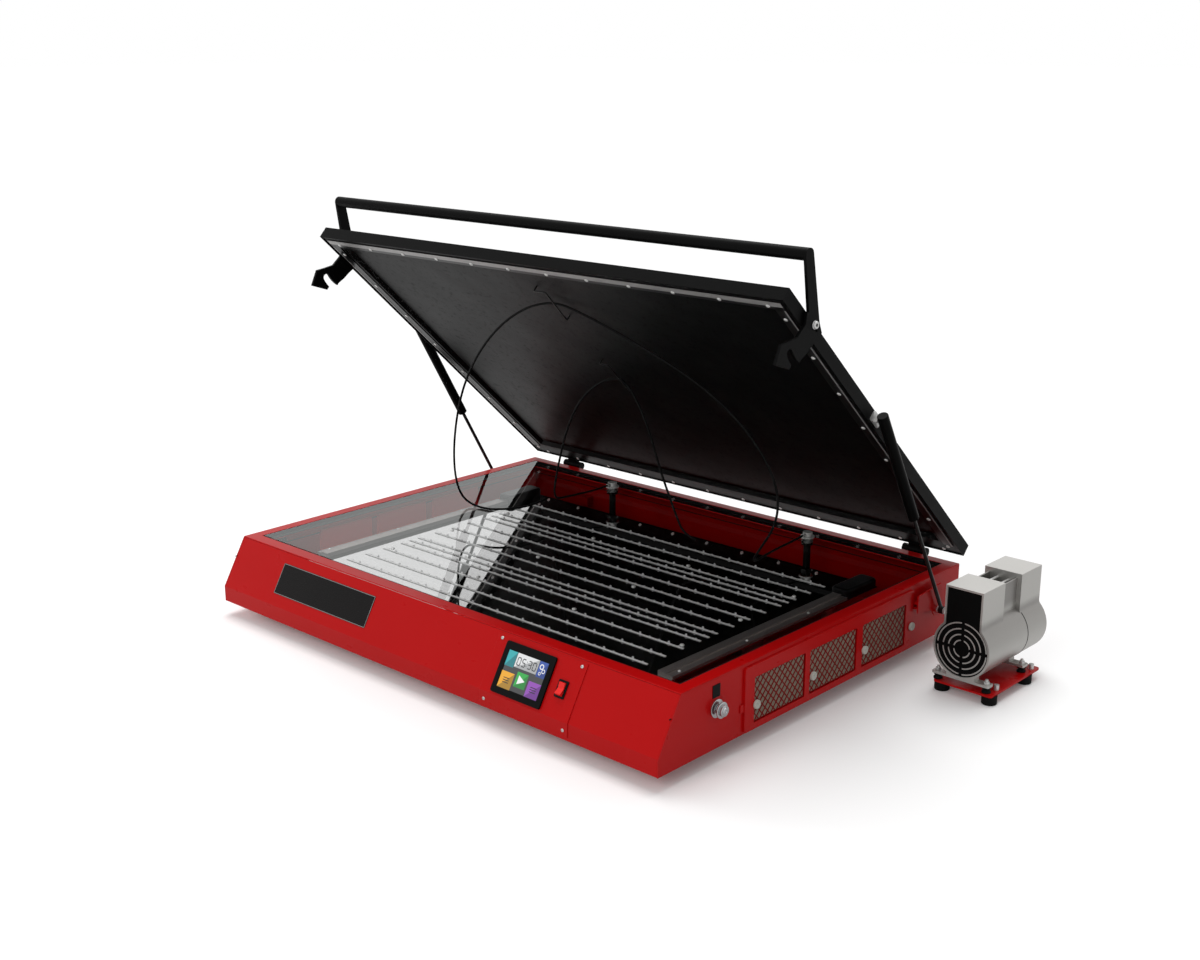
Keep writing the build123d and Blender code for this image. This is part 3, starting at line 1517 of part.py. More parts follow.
barb_z = 185
inlet_reach = 24
hex_thickness = 4
with BuildPart() as pump_inlet:
    with BuildSketch(front_plane(pump_rear - grille_inset)):
        with Locations((pump_x, barb_z)):
            Circle(5)
    extrude(amount=-inlet_reach)
    with BuildSketch(front_plane(pump_rear - grille_inset)):
        with Locations((pump_x, barb_z)):
            RegularPolygon(9, 6)
    extrude(amount=-hex_thickness)
    with BuildSketch(front_plane(pump_rear - grille_inset + inlet_reach)):
        with Locations((pump_x, barb_z)):
            Circle(3)
    extrude(amount=inlet_reach, mode=Mode.SUBTRACT)
pump_inlet.part.label = "pump_inlet"
export_step(pump_inlet.part, "parts/pump_inlet.step")

# ================================================================ cords

cord_start_y = nozzle_tip_y - 0.3
first_cord_points = [
    (port_x, cord_start_y, nozzle_z), (290, 352, 169), (293, 300, 168), (301, 240, 168),
    (311, 188, 168), (331, 164, 190), (357, 157, 225), (388, 147, 266), (410, 133, 314),
    (417, 114, 371), (405, 90, 428), (380, 65, 482), (343, 40, 531), (296, 15, 573),
    (242, -9, 609), (184, -31, 640), (124, -48, 668), (62, -62, 692), (-3, -71, 710),
    (-68, -78, 697), (-130, -79, 665), (-187, -72, 625), (-239, -61, 580), (-286, -48, 532),
    (-329, -33, 478), (-367, -15, 422), (-400, 4, 365), (-428, 23, 306), (-447, 41, 248),
    (-453, 57, 202), (-441, 67, 176), (-404, 69, 168), (-364, 74, 168), (-336, 103, 168),
    (-320, 144, 168), (-320, 185, 168), (-329, 221, 168),
]
second_cord_points = [
    (-port_x, cord_start_y, nozzle_z), (-292, 356, 169), (-299, 310, 168), (-307, 262, 168),
    (-305, 232, 171), (-297, 216, 194), (-279, 207, 242), (-254, 196, 298), (-225, 182, 352),
    (-190, 167, 403), (-148, 152, 450), (-100, 141, 488), (-50, 137, 514), (-8, 138.5, 517.6),
    (22, 142, 480), (39, 153, 434), (50, 167, 380), (60, 180, 322), (71, 196, 266),
    (84, 209, 214), (97, 218, 176), (128, 222, 168),
]
gentle_bend = 0.45  # the part of each run that a bend takes at either end


def bend_radii(points):
    """The bend radius at each inner point, from the shorter run and the turn there."""
    radii = []
    for before, here, after in zip(points, points[1:], points[2:]):
        into = Vector(*here) - Vector(*before)
        out = Vector(*after) - Vector(*here)
        half_turn = radians(into.get_angle(out)) / 2
        radii.append(gentle_bend * min(into.length, out.length) / tan(half_turn))
    return radii


def cord(points):
    """A cord along a route with a bend at every point between its ends."""
    radii = bend_radii(points)
    with BuildPart() as swept:
        with BuildLine():
            route = FilletPolyline(*points, radius=radii)
        with BuildSketch(Plane(origin=route @ 0, z_dir=route % 0)):
            Circle(cord_diameter / 2)
        sweep()
    section = pi * cord_diameter**2 / 4
    print("smallest bend", round(min(radii), 1), "length", round(route.length))
    print("volume over section by length", round(swept.part.volume / (section * route.length), 4))
    return swept


first_cord = cord(first_cord_points)
first_cord.part.label = "first_cord"
export_step(first_cord.part, "parts/first_cord.step")
second_cord = cord(second_cord_points)
second_cord.part.label = "second_cord"
export_step(second_cord.part, "parts/second_cord.step")
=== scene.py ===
from math import cos, dist, pi, radians, sin

import bmesh
import bpy
from mathutils import Matrix, Vector


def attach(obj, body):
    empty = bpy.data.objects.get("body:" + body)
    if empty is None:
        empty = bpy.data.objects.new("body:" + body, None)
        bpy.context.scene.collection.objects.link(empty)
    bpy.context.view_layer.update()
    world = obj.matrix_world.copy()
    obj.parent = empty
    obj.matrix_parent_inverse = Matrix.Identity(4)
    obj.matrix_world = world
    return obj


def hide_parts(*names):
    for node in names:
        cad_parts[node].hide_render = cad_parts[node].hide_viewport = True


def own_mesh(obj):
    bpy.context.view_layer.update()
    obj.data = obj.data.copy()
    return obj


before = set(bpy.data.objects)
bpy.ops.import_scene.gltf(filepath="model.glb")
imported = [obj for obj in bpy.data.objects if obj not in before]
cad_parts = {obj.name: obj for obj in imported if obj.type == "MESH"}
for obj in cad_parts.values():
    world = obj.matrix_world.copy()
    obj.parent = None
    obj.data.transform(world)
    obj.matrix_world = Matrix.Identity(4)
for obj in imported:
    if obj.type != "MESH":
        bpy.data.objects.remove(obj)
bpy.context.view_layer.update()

mm = 0.001
paint_edge = 0.2 * mm  # half the width over which two paints meet

# Places on the cabinet and the lid, in mm, as the solids have them.
half_width = 625
front_y = -481
rear_y = 481
crease_z = 64
glass_top = 165
hinge_y, hinge_z = 502.5, 162.9
open_angle = 42.8


# ================================================================ materials as sums


class Value:
    """One number or vector in a material, so that a material is written as a sum."""

    def __init__(self, paint, socket):
        self.paint = paint
        self.socket = socket

    def __add__(self, other):
        return self.paint.math("ADD", self, other)

    def __radd__(self, other):
        return self.paint.math("ADD", other, self)

    def __sub__(self, other):
        return self.paint.math("SUBTRACT", self, other)

    def __rsub__(self, other):
        return self.paint.math("SUBTRACT", other, self)

    def __mul__(self, other):
        return self.paint.math("MULTIPLY", self, other)

    def __rmul__(self, other):
        return self.paint.math("MULTIPLY", other, self)


class Paint:
    """The nodes of one material, or of the world, and the tools to write them."""

    def __init__(self, owner):
        self.owner = owner
        self.owner.use_nodes = True
        self.tree = self.owner.node_tree
        self.tree.nodes.clear()
        self.place = None

    def node(self, kind, settings, inputs, output=0):
        """A node of this kind with these settings and inputs, as the value it gives."""
        made = self.tree.nodes.new(kind)
        for name, setting in settings.items():
            setattr(made, name, setting)
        for name, value in inputs.items():
            if isinstance(value, Value):
                self.tree.links.new(value.socket, made.inputs[name])
            else:
                made.inputs[name].default_value = value
        return Value(self, made.outputs[output])

    def math(self, operation, first, second=0.0):
        return self.node("ShaderNodeMath", {"operation": operation}, {0: first, 1: second})

    def most(self, first, second):
        return self.math("MAXIMUM", first, second)

    def on_piece(self, stretch=(1, 1, 1)):
        """The place on the piece in metres, scaled along each axis."""
        if self.place is None:
            self.place = self.node("ShaderNodeTexCoord", {}, {}, "Object")
        if stretch == (1, 1, 1):
            return self.place
        inputs = {0: self.place, 1: stretch}
        return self.node("ShaderNodeVectorMath", {"operation": "MULTIPLY"}, inputs)

    def axis(self, letter):
        """How far along X, Y or Z the surface lies, in metres."""
        return self.node("ShaderNodeSeparateXYZ", {}, {0: self.on_piece()}, letter)

    def off_middle(self, letter, middle=0.0):
        """How far the surface lies to either side of middle along an axis."""
        return self.math("ABSOLUTE", self.axis(letter) - middle if middle else self.axis(letter))

    def noise(self, scale, detail=3.0, stretch=(1, 1, 1)):
        inputs = {"Vector": self.on_piece(stretch), "Scale": scale, "Detail": detail}
        return self.node("ShaderNodeTexNoise", {}, inputs)

    def step(self, value, low, high):
        """From 0 at low to 1 at high, smoothly."""
        inputs = {"Value": value, "From Min": low, "From Max": high}
        return self.node("ShaderNodeMapRange", {"interpolation_type": "SMOOTHSTEP"}, inputs)

    def past(self, value, edge):
        """0 below the edge and 1 above it, sharp to the eye."""
        return self.step(value, edge - paint_edge, edge + paint_edge)

    def blend(self, share, first, second):
        inputs = {0: share, 6: colour(first), 7: colour(second)}
        return self.node("ShaderNodeMix", {"data_type": "RGBA"}, inputs, 2)

    def bumps(self, height, distance):
        return self.node("ShaderNodeBump", {}, {"Height": height, "Distance": distance})

    def finish(self, inputs, solid_share=None):
        """The material whose shader has these inputs, clear where solid_share is 0."""
        inputs = {name: colour(value) for name, value in inputs.items()}
        shader = self.node("ShaderNodeBsdfPrincipled", {}, inputs)
        if solid_share is not None:
            clear = self.node("ShaderNodeBsdfTransparent", {}, {})
            shader = self.node("ShaderNodeMixShader", {}, {0: solid_share, 1: clear, 2: shader})
        return self.close("ShaderNodeOutputMaterial", shader)

    def close(self, output_kind, shader):
        """Joins the last shader to the output, and gives the material or world."""
        output = self.tree.nodes.new(output_kind)
        self.tree.links.new(shader.socket, output.inputs["Surface"])
        return self.owner


def new_paint(name):
    return Paint(bpy.data.materials.new(name))


def grey(level):
    return (level, level, level)


def colour(value):
    """A colour with the alpha that a socket wants, and any other value as it is."""
    return (*value, 1) if isinstance(value, tuple) and len(value) == 3 else value


# ================================================================ paints, metals and rubbers


def paint_coat(name, dark, light, roughness, peel, coat=0.0, metallic=0.0, gloss=0.12):
    """A baked paint or moulding with an uneven skin, dark and light its two shades."""
    paint = new_paint(name)
    cloud = paint.noise(5.0)
    grain = paint.noise(700.0, 2.0)
    skin = grain * 0.7 + paint.noise(160.0, 2.0) * 0.6
    smear = paint.noise(22.0, 4.0, (1, 1, 2.5))
    return paint.finish(
        {
            "Base Color": paint.blend(cloud, dark, light),
            "Metallic": metallic,
            "Roughness": smear * 0.14 + (roughness - 0.07),
            "Specular IOR Level": gloss,
            "Coat Weight": coat,
            "Coat Roughness": 0.08,
            "Normal": paint.bumps(skin, peel),
        }
    )


def brushed_metal(name, dark, light, roughness, stretch, metallic=1.0):
    """Bare metal with fine lines along the axis that stretch leaves short."""
    paint = new_paint(name)
    lines = paint.noise(60.0, 4.0, stretch)
    cloud = paint.noise(14.0)
    return paint.finish(
        {
            "Base Color": paint.blend(lines * 0.6 + cloud * 0.4, dark, light),
            "Metallic": metallic,
            "Roughness": lines * 0.16 + cloud * 0.08 + (roughness - 0.1),
            "Normal": paint.bumps(lines, 0.00006),
        }
    )


red_enamel = paint_coat(
    "red_enamel", (0.42, 0.0025, 0.003), (0.47, 0.004, 0.0045), 0.30, 0.0001, 0.06, gloss=0.07
)
black_powder = paint_coat(
    "black_powder", grey(0.0012), grey(0.0026), 0.44, 0.00016, gloss=0.05
)
black_moulding = paint_coat(
    "black_moulding", grey(0.003), grey(0.006), 0.50, 0.00012, gloss=0.08
)
dark_case = paint_coat(
    "dark_case", grey(0.002), grey(0.004), 0.30, 0.00004, 0.02, gloss=0.06
)
grey_moulding = paint_coat(
    "grey_moulding", (0.40, 0.40, 0.36), (0.50, 0.50, 0.45), 0.50, 0.00010, gloss=0.3
)
pale_casting = paint_coat(
    "pale_casting", (0.42, 0.41, 0.39), (0.50, 0.49, 0.47), 0.40, 0.00012, 0.0, 0.8, 0.4
)
strut_enamel = paint_coat(
    "strut_enamel", grey(0.001), grey(0.002), 0.30, 0.00002, gloss=0.03
)
clamp_aluminium = brushed_metal(
    "clamp_aluminium", grey(0.14), (0.42, 0.41, 0.40), 0.40, (1, 14, 14), 0.6
)
bright_steel = brushed_metal("bright_steel", (0.52, 0.52, 0.51), (0.64, 0.64, 0.63), 0.28, (2, 2, 1), 0.7)
chrome = brushed_metal("chrome", (0.36, 0.36, 0.37), (0.48, 0.48, 0.49), 0.22, (1, 1, 1))
dark_steel = brushed_metal("dark_steel", grey(0.02), grey(0.05), 0.32, (8, 1, 1))
net_enamel = paint_coat("net_enamel", (0.16, 0.003, 0.003), (0.22, 0.005, 0.005), 0.40, 0.0001, gloss=0.06)


def rubber_sheet(name, dark, light, roughness, wrinkle):
    """Rubber with a fine fabric grain and broad soft unevenness."""
    paint = new_paint(name)
    weave = paint.noise(1400.0, 2.0)
    broad = paint.noise(7.0, 2.0)
    dust = paint.step(paint.noise(90.0, 5.0), 0.52, 0.75)
    return paint.finish(
        {
            "Base Color": paint.blend(dust * 0.35, dark, light),
            "Specular IOR Level": 0.08,
            "Roughness": roughness + dust * 0.10,
            "Normal": paint.bumps(weave * 0.02 + broad, wrinkle),
        }
    )


blanket_rubber = rubber_sheet(
    "blanket_rubber", grey(0.0006), grey(0.0022), 0.36, 0.002
)
seal_rubber = rubber_sheet("seal_rubber", grey(0.004), grey(0.012), 0.60, 0.0003)


def clear_glass():
    """Float glass that shows what is under it and mirrors what is over it at a low angle."""
    paint = new_paint("clear_glass")
    mirror = paint.node("ShaderNodeFresnel", {}, {"IOR": 1.5})
    lamps_pass = 1 - paint.node("ShaderNodeLightPath", {}, {}, "Is Shadow Ray")
    top_face = paint.past(paint.axis("Z"), (glass_top - 0.75) * mm)
    from_above = 1 - paint.node("ShaderNodeNewGeometry", {}, {}, "Backfacing")
    streaks = paint.step(paint.noise(6.0, 5.0), 0.5, 0.8)
    return paint.finish(
        {
            "Base Color": (0.90, 0.93, 0.92),
            "Metallic": 1.0,
            "Roughness": streaks * 0.006 + 0.001,
        },
        paint.math("MINIMUM", mirror * lamps_pass * top_face * from_above, 0.85),
    )


def led_board():
    """White coated board of the LED strips, with pale solder and copper ends."""
    paint = new_paint("led_board")
    pads = paint.step(paint.noise(420.0, 1.0), 0.60, 0.66)
    return paint.finish(
        {
            "Base Color": paint.blend(pads, grey(0.62), (0.72, 0.70, 0.62)),
            "Roughness": pads * -0.15 + 0.42,
            "Normal": paint.bumps(pads, 0.0002),
        }
    )


def lens_plastic():
    """The milky caps over the LEDs."""
    paint = new_paint("lens_plastic")
    cloud = paint.noise(300.0, 2.0)
    return paint.finish(
        {
            "Base Color": paint.blend(cloud, (0.50, 0.50, 0.51), (0.62, 0.62, 0.63)),
            "Roughness": cloud * 0.1 + 0.12,
            "Specular IOR Level": 0.6,
        }
    )


def filter_felt():
    """Fluffy beige filter felt behind the vent nets, backed by a red sheet on the inside, its red painted
    brighter than the wall red as painted light inside the cabinet.
    """
    paint = new_paint("filter_felt")
    outer = paint.past(paint.off_middle("X"), (half_width - 1.2) * mm)
    fibres = paint.noise(500.0, 5.0, (1, 1, 3))
    dust = paint.noise(30.0, 3.0)
    fleece = paint.blend(fibres * 0.6 + dust * 0.4, (0.13, 0.10, 0.075), (0.30, 0.25, 0.185))
    return paint.finish(
        {
            # The inner red is brightened: painted light inside the cabinet.
            "Base Color": paint.blend(outer, (0.80, 0.015, 0.015), fleece),
            "Roughness": fibres * 0.1 + 0.82,
            "Normal": paint.bumps(fibres, 0.0012),
        }
    )


def plain_plate():
    """The bare dark plate on the front, satin with a very fine grain."""
    paint = new_paint("plain_plate")
    lines = paint.noise(900.0, 2.0, (0.05, 1, 1))
    cloud = paint.noise(9.0)
    return paint.finish(
        {
            "Base Color": paint.blend(cloud, (0.003, 0.0025, 0.0025), (0.006, 0.005, 0.005)),
            "Specular IOR Level": 0.1,
            "Roughness": lines * 0.10 + 0.22,
            "Normal": paint.bumps(lines, 0.00002),
        }
    )


def circuit_board():
    """Green board with paler copper under its lacquer."""
    paint = new_paint("circuit_board")
    copper = paint.step(paint.noise(260.0, 1.0), 0.56, 0.60)
    return paint.finish(
        {
            "Base Color": paint.blend(copper, (0.010, 0.09, 0.03), (0.03, 0.17, 0.06)),
            "Roughness": copper * 0.1 + 0.32,
        }
    )


rail_cover_y = 238.2  # the black cover's front end on each rail


def rail_bar():
    """The brushed bar at each side of the tray, and the black cover past its rear end."""
    paint = new_paint("rail_bar")
    lines = paint.noise(40.0, 4.0, (14, 0.4, 14))
    bar = paint.blend(lines, (0.18, 0.16, 0.15), (0.28, 0.25, 0.24))
    cover = paint.past(paint.axis("Y"), rail_cover_y * mm)
    return paint.finish(
        {
            "Base Color": paint.blend(cover, bar, grey(0.003)),
            "Metallic": 0.75 - cover * 0.75,
            "Specular IOR Level": 0.08,
            "Roughness": lines * 0.12 + 0.28,
        }
    )


def tray_mirror():
    """Bright rolled sheet under the LED strips, that mirrors the lid or the room."""
    paint = new_paint("tray_mirror")
    rolled = paint.noise(30.0, 3.0, (0.15, 6, 1))
    dust = paint.step(paint.noise(45.0, 6.0), 0.5, 0.85)
    return paint.finish(
        {
            "Base Color": paint.blend(rolled, grey(0.50), grey(0.60)),
            "Metallic": 1.0,
            "Roughness": dust * 0.03 + rolled * 0.02 + 0.015,
        }
    )


def two_tone(name, axis, edge, below, above, roughness, metallic=0.0):
    """Two colours on one piece, the second from edge in mm upward along the axis: two paints on the ports,
    the wall red and its painted shade on the rear wall.
    """
    paint = new_paint(name)
    cloud = paint.noise(20.0)
    share = paint.past(paint.axis(axis), edge * mm)
    return paint.finish(
        {
            "Base Color": paint.blend(share, below, above),
            "Metallic": share * metallic,
            "Specular IOR Level": 0.1,
            "Roughness": cloud * 0.14 + (roughness - 0.07),
            "Normal": paint.bumps(paint.noise(700.0, 2.0), 0.0001),
        }
    )


def lined_wall(name, edge, inside, outside, roughness):
    """A side wall's two colours, the first on what lies nearer the middle than edge in mm; on the side
    walls that first is the wall red painted brighter, as painted light inside the cabinet.
    """
    paint = new_paint(name)
    cloud = paint.noise(20.0)
    outer = paint.past(paint.off_middle("X"), edge * mm)
    return paint.finish(
        {
            "Base Color": paint.blend(outer, inside, outside),
            "Specular IOR Level": 0.08,
            "Coat Weight": 0.06,
            "Coat Roughness": 0.08,
            "Roughness": cloud * 0.14 + (roughness - 0.07),
            "Normal": paint.bumps(paint.noise(700.0, 2.0), 0.0001),
        }
    )


inlet_x, inlet_z = -430, 90
socket_half_width, socket_half_height = 13.2, 9.2
socket_floor_y = 459.8


def inlet_shell():
    """Black socket whose box inside the cabinet carries the wall's red, darkened as painted shade like the
    inside of the rear wall.
    """
    paint = new_paint("inlet_shell")
    cloud = paint.noise(30.0)
    inside = 1 - paint.past(paint.axis("Y"), (rear_y - 1) * mm)
    across = paint.past(paint.off_middle("X", inlet_x * mm), socket_half_width * mm)
    over = paint.past(paint.off_middle("Z", inlet_z * mm), socket_half_height * mm)
    back = 1 - paint.past(paint.axis("Y"), socket_floor_y * mm)
    sprayed_in_painted_shade = inside * paint.most(back, paint.most(across, over))
    return paint.finish(
        {
            # The darker red inside the cabinet is painted shade.
            "Base Color": paint.blend(sprayed_in_painted_shade, grey(0.004), (0.16, 0.001, 0.001)),
            "Specular IOR Level": 0.1,
            "Roughness": cloud * 0.12 + 0.36,
        }
    )


neck_front_y, neck_rear_y = 294.2, 358.6


def pump_skin():
    """Pale cast casing, with painted shade where the neck lies back between the two boxes and on the
    barrel just below the boxes.
    """
    paint = new_paint("pump_skin")
    cloud = paint.noise(5.0)
    grain = paint.noise(500.0, 3.0)
    along = paint.axis("Y")
    height = paint.axis("Z")
    middle = paint.past(along, neck_front_y * mm) * (1 - paint.past(along, neck_rear_y * mm))
    # Painted shade: the neck and a stretch of the barrel under the boxes take the darker colour.
    neck = middle * paint.step(height, 150 * mm, 175 * mm)
    barrel_shade_lower_edge = paint.step(height, 85 * mm, 140 * mm)
    barrel_painted_shade = barrel_shade_lower_edge * (1 - paint.step(height, 148 * mm, 166 * mm))
    pale = paint.blend(cloud, (0.42, 0.41, 0.39), (0.48, 0.47, 0.45))
    shaded = paint.blend(cloud, (0.20, 0.19, 0.18), (0.25, 0.24, 0.23))
    return paint.finish(
        {
            "Base Color": paint.blend(paint.most(neck * 0.9, barrel_painted_shade * 0.7), pale, shaded),
            "Metallic": 0.8,
            "Roughness": grain * 0.10 + 0.34,
            "Specular IOR Level": 0.4,
            "Normal": paint.bumps(grain, 0.0001),
        }
    )


def glowing(name, tone, strength=1.0):
    """One colour of the lit display, a little uneven as a panel is."""
    paint = new_paint(name)
    cloud = paint.noise(60.0, 2.0)
    bright = tuple(part * 1.06 for part in tone)
    return paint.finish(
        {
            "Base Color": grey(0.01),
            "Roughness": cloud * 0.05 + 0.15,
            "Emission Color": paint.blend(cloud, tone, bright),
            "Emission Strength": strength,
        }
    )


glass_clear = clear_glass()
board_white = led_board()
lens_milky = lens_plastic()
felt = filter_felt()
plate_dark = plain_plate()
board_green = circuit_board()
rail_brown = rail_bar()
port_paint = two_tone("port_paint", "Z", 164.6, grey(0.004), (0.42, 0.42, 0.41), 0.40, 0.5)
inlet_paint = inlet_shell()
pump_paint = pump_skin()
wall_red = (0.44, 0.003, 0.0035)
# The rear wall's inside is the wall red darkened as painted shade.
rear_paint_painted_shade_inside = two_tone("rear_paint_painted_shade_inside", "Y", rear_y - 1, (0.18, 0.001, 0.001), wall_red, 0.30)
# The side walls' inside is the wall red painted brighter: painted light where little lamp light reaches.
side_paint_painted_light_inside = lined_wall("side_paint_painted_light_inside", half_width - 2.2, (0.80, 0.015, 0.015), wall_red, 0.30)
tray_bright = tray_mirror()
red_rocker = paint_coat("red_rocker", (0.78, 0.012, 0.010), (0.85, 0.018, 0.014), 0.25, 0.00003, 0.3)


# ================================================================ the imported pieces' materials

node_materials = {
    "base_pan": red_enamel,
    "front_panel": red_enamel,
    "side_panels": side_paint_painted_light_inside,
    "rear_panel": rear_paint_painted_shade_inside,
    "top_rim": red_enamel,
    "cabinet_feet": seal_rubber,
    "glass_gasket": seal_rubber,
    "glass_pane": glass_clear,
    "led_tray": tray_bright,
    "tray_rails": rail_brown,
    "led_strips": board_white,
    "panel_screws": bright_steel,
    "tray_supports": bright_steel,
    "led_drivers": clamp_aluminium,
    "vacuum_ports": port_paint,
    "vacuum_manifold": black_moulding,
    "power_inlet": inlet_paint,
    "control_plate": red_enamel,
    "display_housing": dark_case,
    "display_screen": dark_case,
    "control_board": board_green,
    "rocker_bezel": black_moulding,
    "rocker": red_rocker,
    "name_plate": plate_dark,
    "vent_covers": red_enamel,
    "right_vent_mesh": red_enamel,
    "left_vent_mesh": red_enamel,
    "vent_filters": felt,
    "vent_knobs": grey_moulding,
    "latch_pins": chrome,
    "sensor_windows": dark_case,
    "strut_brackets": red_enamel,
    "strut_lower_studs": bright_steel,
    "hinge_brackets": black_powder,
    "pump_casing": pump_paint,
    "pump_grilles": black_powder,
    "pump_motor": dark_steel,
    "pump_brackets": pale_casting,
    "pump_bolts": bright_steel,
    "pump_plate": red_enamel,
    "pump_rubber_mounts": seal_rubber,
    "pump_inlet": bright_steel,
    "lid_panel": black_powder,
    "lid_frame": black_powder,
    "rubber_blanket": blanket_rubber,
    "clamp_strips": clamp_aluminium,
    "clamp_screws": bright_steel,
    "cord_hooks": dark_steel,
    "lid_hinge_leaves": black_powder,
    "handle_pivot_bolts": bright_steel,
    "strut_upper_studs": bright_steel,
    "handle_arms": black_powder,
    "handle_tube": black_powder,
    "right_strut_rod": dark_steel,
    "left_strut_rod": dark_steel,
    "right_strut_tube": strut_enamel,
    "left_strut_tube": strut_enamel,
    "pump_rotor": grey_moulding,
    "first_cord": seal_rubber,
    "second_cord": seal_rubber,
}
for node_name, material in node_materials.items():
    for material_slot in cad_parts[node_name].material_slots:
        material_slot.material = material

rounded_edges = {
    "top_rim": 0.8, "front_panel": 1.2, "control_plate": 0.5,
    "display_housing": 1.2, "vent_covers": 1.0, "hinge_brackets": 0.8,
    "pump_casing": 1.2, "pump_brackets": 0.8, "pump_plate": 0.8, "lid_panel": 1.0, "lid_frame": 0.8,
    "lid_hinge_leaves": 0.8, "handle_arms": 0.9, "handle_tube": 0.4,
    "tray_rails": 0.8, "rocker_bezel": 0.4, "rocker": 0.5, "vacuum_ports": 0.8,
    "vent_knobs": 0.9, "led_tray": 0.4, "name_plate": 0.2, "glass_gasket": 0.4, "pump_bolts": 0.5,
    "strut_upper_studs": 0.6, "strut_lower_studs": 0.6,
    "panel_screws": 0.4, "sensor_windows": 0.4, "pump_inlet": 0.4, "power_inlet": 0.5,
}


def round_edges(obj, width):
    """Rounded edges, so that each edge catches the light as a folded or moulded one does."""
    weld = obj.modifiers.new("weld", "WELD")
    weld.merge_threshold = 0.00001
    bevel = obj.modifiers.new("round", "BEVEL")
    bevel.width = width * mm
    bevel.segments = 2
    bevel.limit_method = "ANGLE"
    bevel.angle_limit = radians(40)
    shading = obj.modifiers.new("shading", "WEIGHTED_NORMAL")
    shading.keep_sharp = True


for node_name, width in rounded_edges.items():
    round_edges(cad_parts[node_name], width)


# ================================================================ the cords

first_cord_points = [
    (289, 392.7, 172), (290, 352, 169), (293, 300, 168), (301, 240, 168),
    (311, 188, 168), (331, 164, 190), (357, 157, 225), (388, 147, 266), (410, 133, 314),
    (417, 114, 371), (405, 90, 428), (380, 65, 482), (343, 40, 531), (296, 15, 573),
    (242, -9, 609), (184, -31, 640), (124, -48, 668), (62, -62, 692), (-3, -71, 710),
    (-68, -78, 697), (-130, -79, 665), (-187, -72, 625), (-239, -61, 580), (-286, -48, 532),
    (-329, -33, 478), (-367, -15, 422), (-400, 4, 365), (-428, 23, 306), (-447, 41, 248),
    (-453, 57, 202), (-441, 67, 176), (-404, 69, 168), (-364, 74, 168), (-336, 103, 168),
    (-320, 144, 168), (-320, 185, 168), (-329, 221, 168),
]
second_cord_points = [
    (-289, 392.7, 172), (-292, 356, 169), (-299, 310, 168), (-307, 262, 168),
    (-305, 232, 171), (-297, 216, 194), (-279, 207, 242), (-254, 196, 298), (-225, 182, 352),
    (-190, 167, 403), (-148, 152, 450), (-100, 141, 488), (-50, 137, 514), (-8, 138.5, 517.6),
    (22, 142, 480), (39, 153, 434), (50, 167, 380), (60, 180, 322), (71, 196, 266),
    (84, 209, 214), (97, 218, 176), (128, 222, 168),
]
cord_radius = 2.5 * mm


def smooth_line(points):
    """The smooth line of a cord, read from a NURBS curve with these control points."""
    curve = bpy.data.curves.new("cord_line", "CURVE")
    curve.dimensions = "3D"
    spline = curve.splines.new("NURBS")
    spline.points.add(len(points) - 1)
    for point, place in zip(spline.points, points):
        point.co = (place[0] * mm, place[1] * mm, place[2] * mm, 1)
    spline.order_u = 3
    spline.use_endpoint_u = True
    spline.resolution_u = 10
    carrier = bpy.data.objects.new("cord_line", curve)
    line = bpy.data.meshes.new_from_object(carrier)
    places = [vertex.co.copy() for vertex in line.vertices]
    bpy.data.objects.remove(carrier)
    bpy.data.curves.remove(curve)
    bpy.data.meshes.remove(line)
    return places


def rings_along(line, radius, sides):
    """Rings of points around a line, turned as little as possible from each to the next."""
    side = Vector((0, 0, 1)).cross(line[1] - line[0]).normalized()
    rings = []
    for i, centre in enumerate(line):
        along = (line[min(i + 1, len(line) - 1)] - line[max(i - 1, 0)]).normalized()
        side = (side - along * side.dot(along)).normalized()
        other = along.cross(side)
        rings.append(
            [
                centre + (side * cos(2 * pi * k / sides) + other * sin(2 * pi * k / sides)) * radius
                for k in range(sides)
            ]
        )
    return rings


def tube_mesh(bm, line, radius, sides=14, bore=0.45):
    """A tube along a line, its ends cut square with a shallow bore in each."""
    rings = rings_along(line, radius, sides)
    into = (line[1] - line[0]).normalized()
    back = (line[-2] - line[-1]).normalized()
    for ends, inward in ((0, into), (-1, back)):
        lip = [line[ends] + (place - line[ends]) * bore for place in rings[ends]]
        floor = [place + inward * radius * 1.5 for place in lip]
        rings = [floor, lip] + rings if ends == 0 else rings + [lip, floor]
    rows = [[bm.verts.new(place) for place in ring] for ring in rings]
    for row, following in zip(rows, rows[1:]):
        for k in range(sides):
            after = (k + 1) % sides
            bm.faces.new((row[k], row[after], following[after], following[k]))
    bm.faces.new(rows[0][::-1])
    bm.faces.new(rows[-1])


def new_piece(name, bm, material, body, replaced=(), smooth=35):
    """A finished piece from a mesh, with its material, riding on a body."""
    bmesh.ops.recalc_face_normals(bm, faces=bm.faces)
    mesh = bpy.data.meshes.new(name)
    bm.to_mesh(mesh)
    bm.free()
    for finish in material if isinstance(material, list) else [material]:
        mesh.materials.append(finish)
    obj = bpy.data.objects.new(name, mesh)
    bpy.context.scene.collection.objects.link(obj)
    for face in mesh.polygons:
        face.use_smooth = True
    mesh.set_sharp_from_angle(angle=radians(smooth))
    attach(obj, body)
    if replaced:
        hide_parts(*replaced)
    return obj


def lay_cord(name, points):
    """A rubber cord along the points, in place of the solid one, riding on the cabinet."""
    line = smooth_line(points)
    bm = bmesh.new()
    tube_mesh(bm, line, cord_radius)
    cord = new_piece(name, bm, seal_rubber, "cabinet", [name.replace("air_", "")])
    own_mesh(cord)


lay_cord("air_first_cord", first_cord_points)
lay_cord("air_second_cord", second_cord_points)


# ================================================================ places and shapes for the details

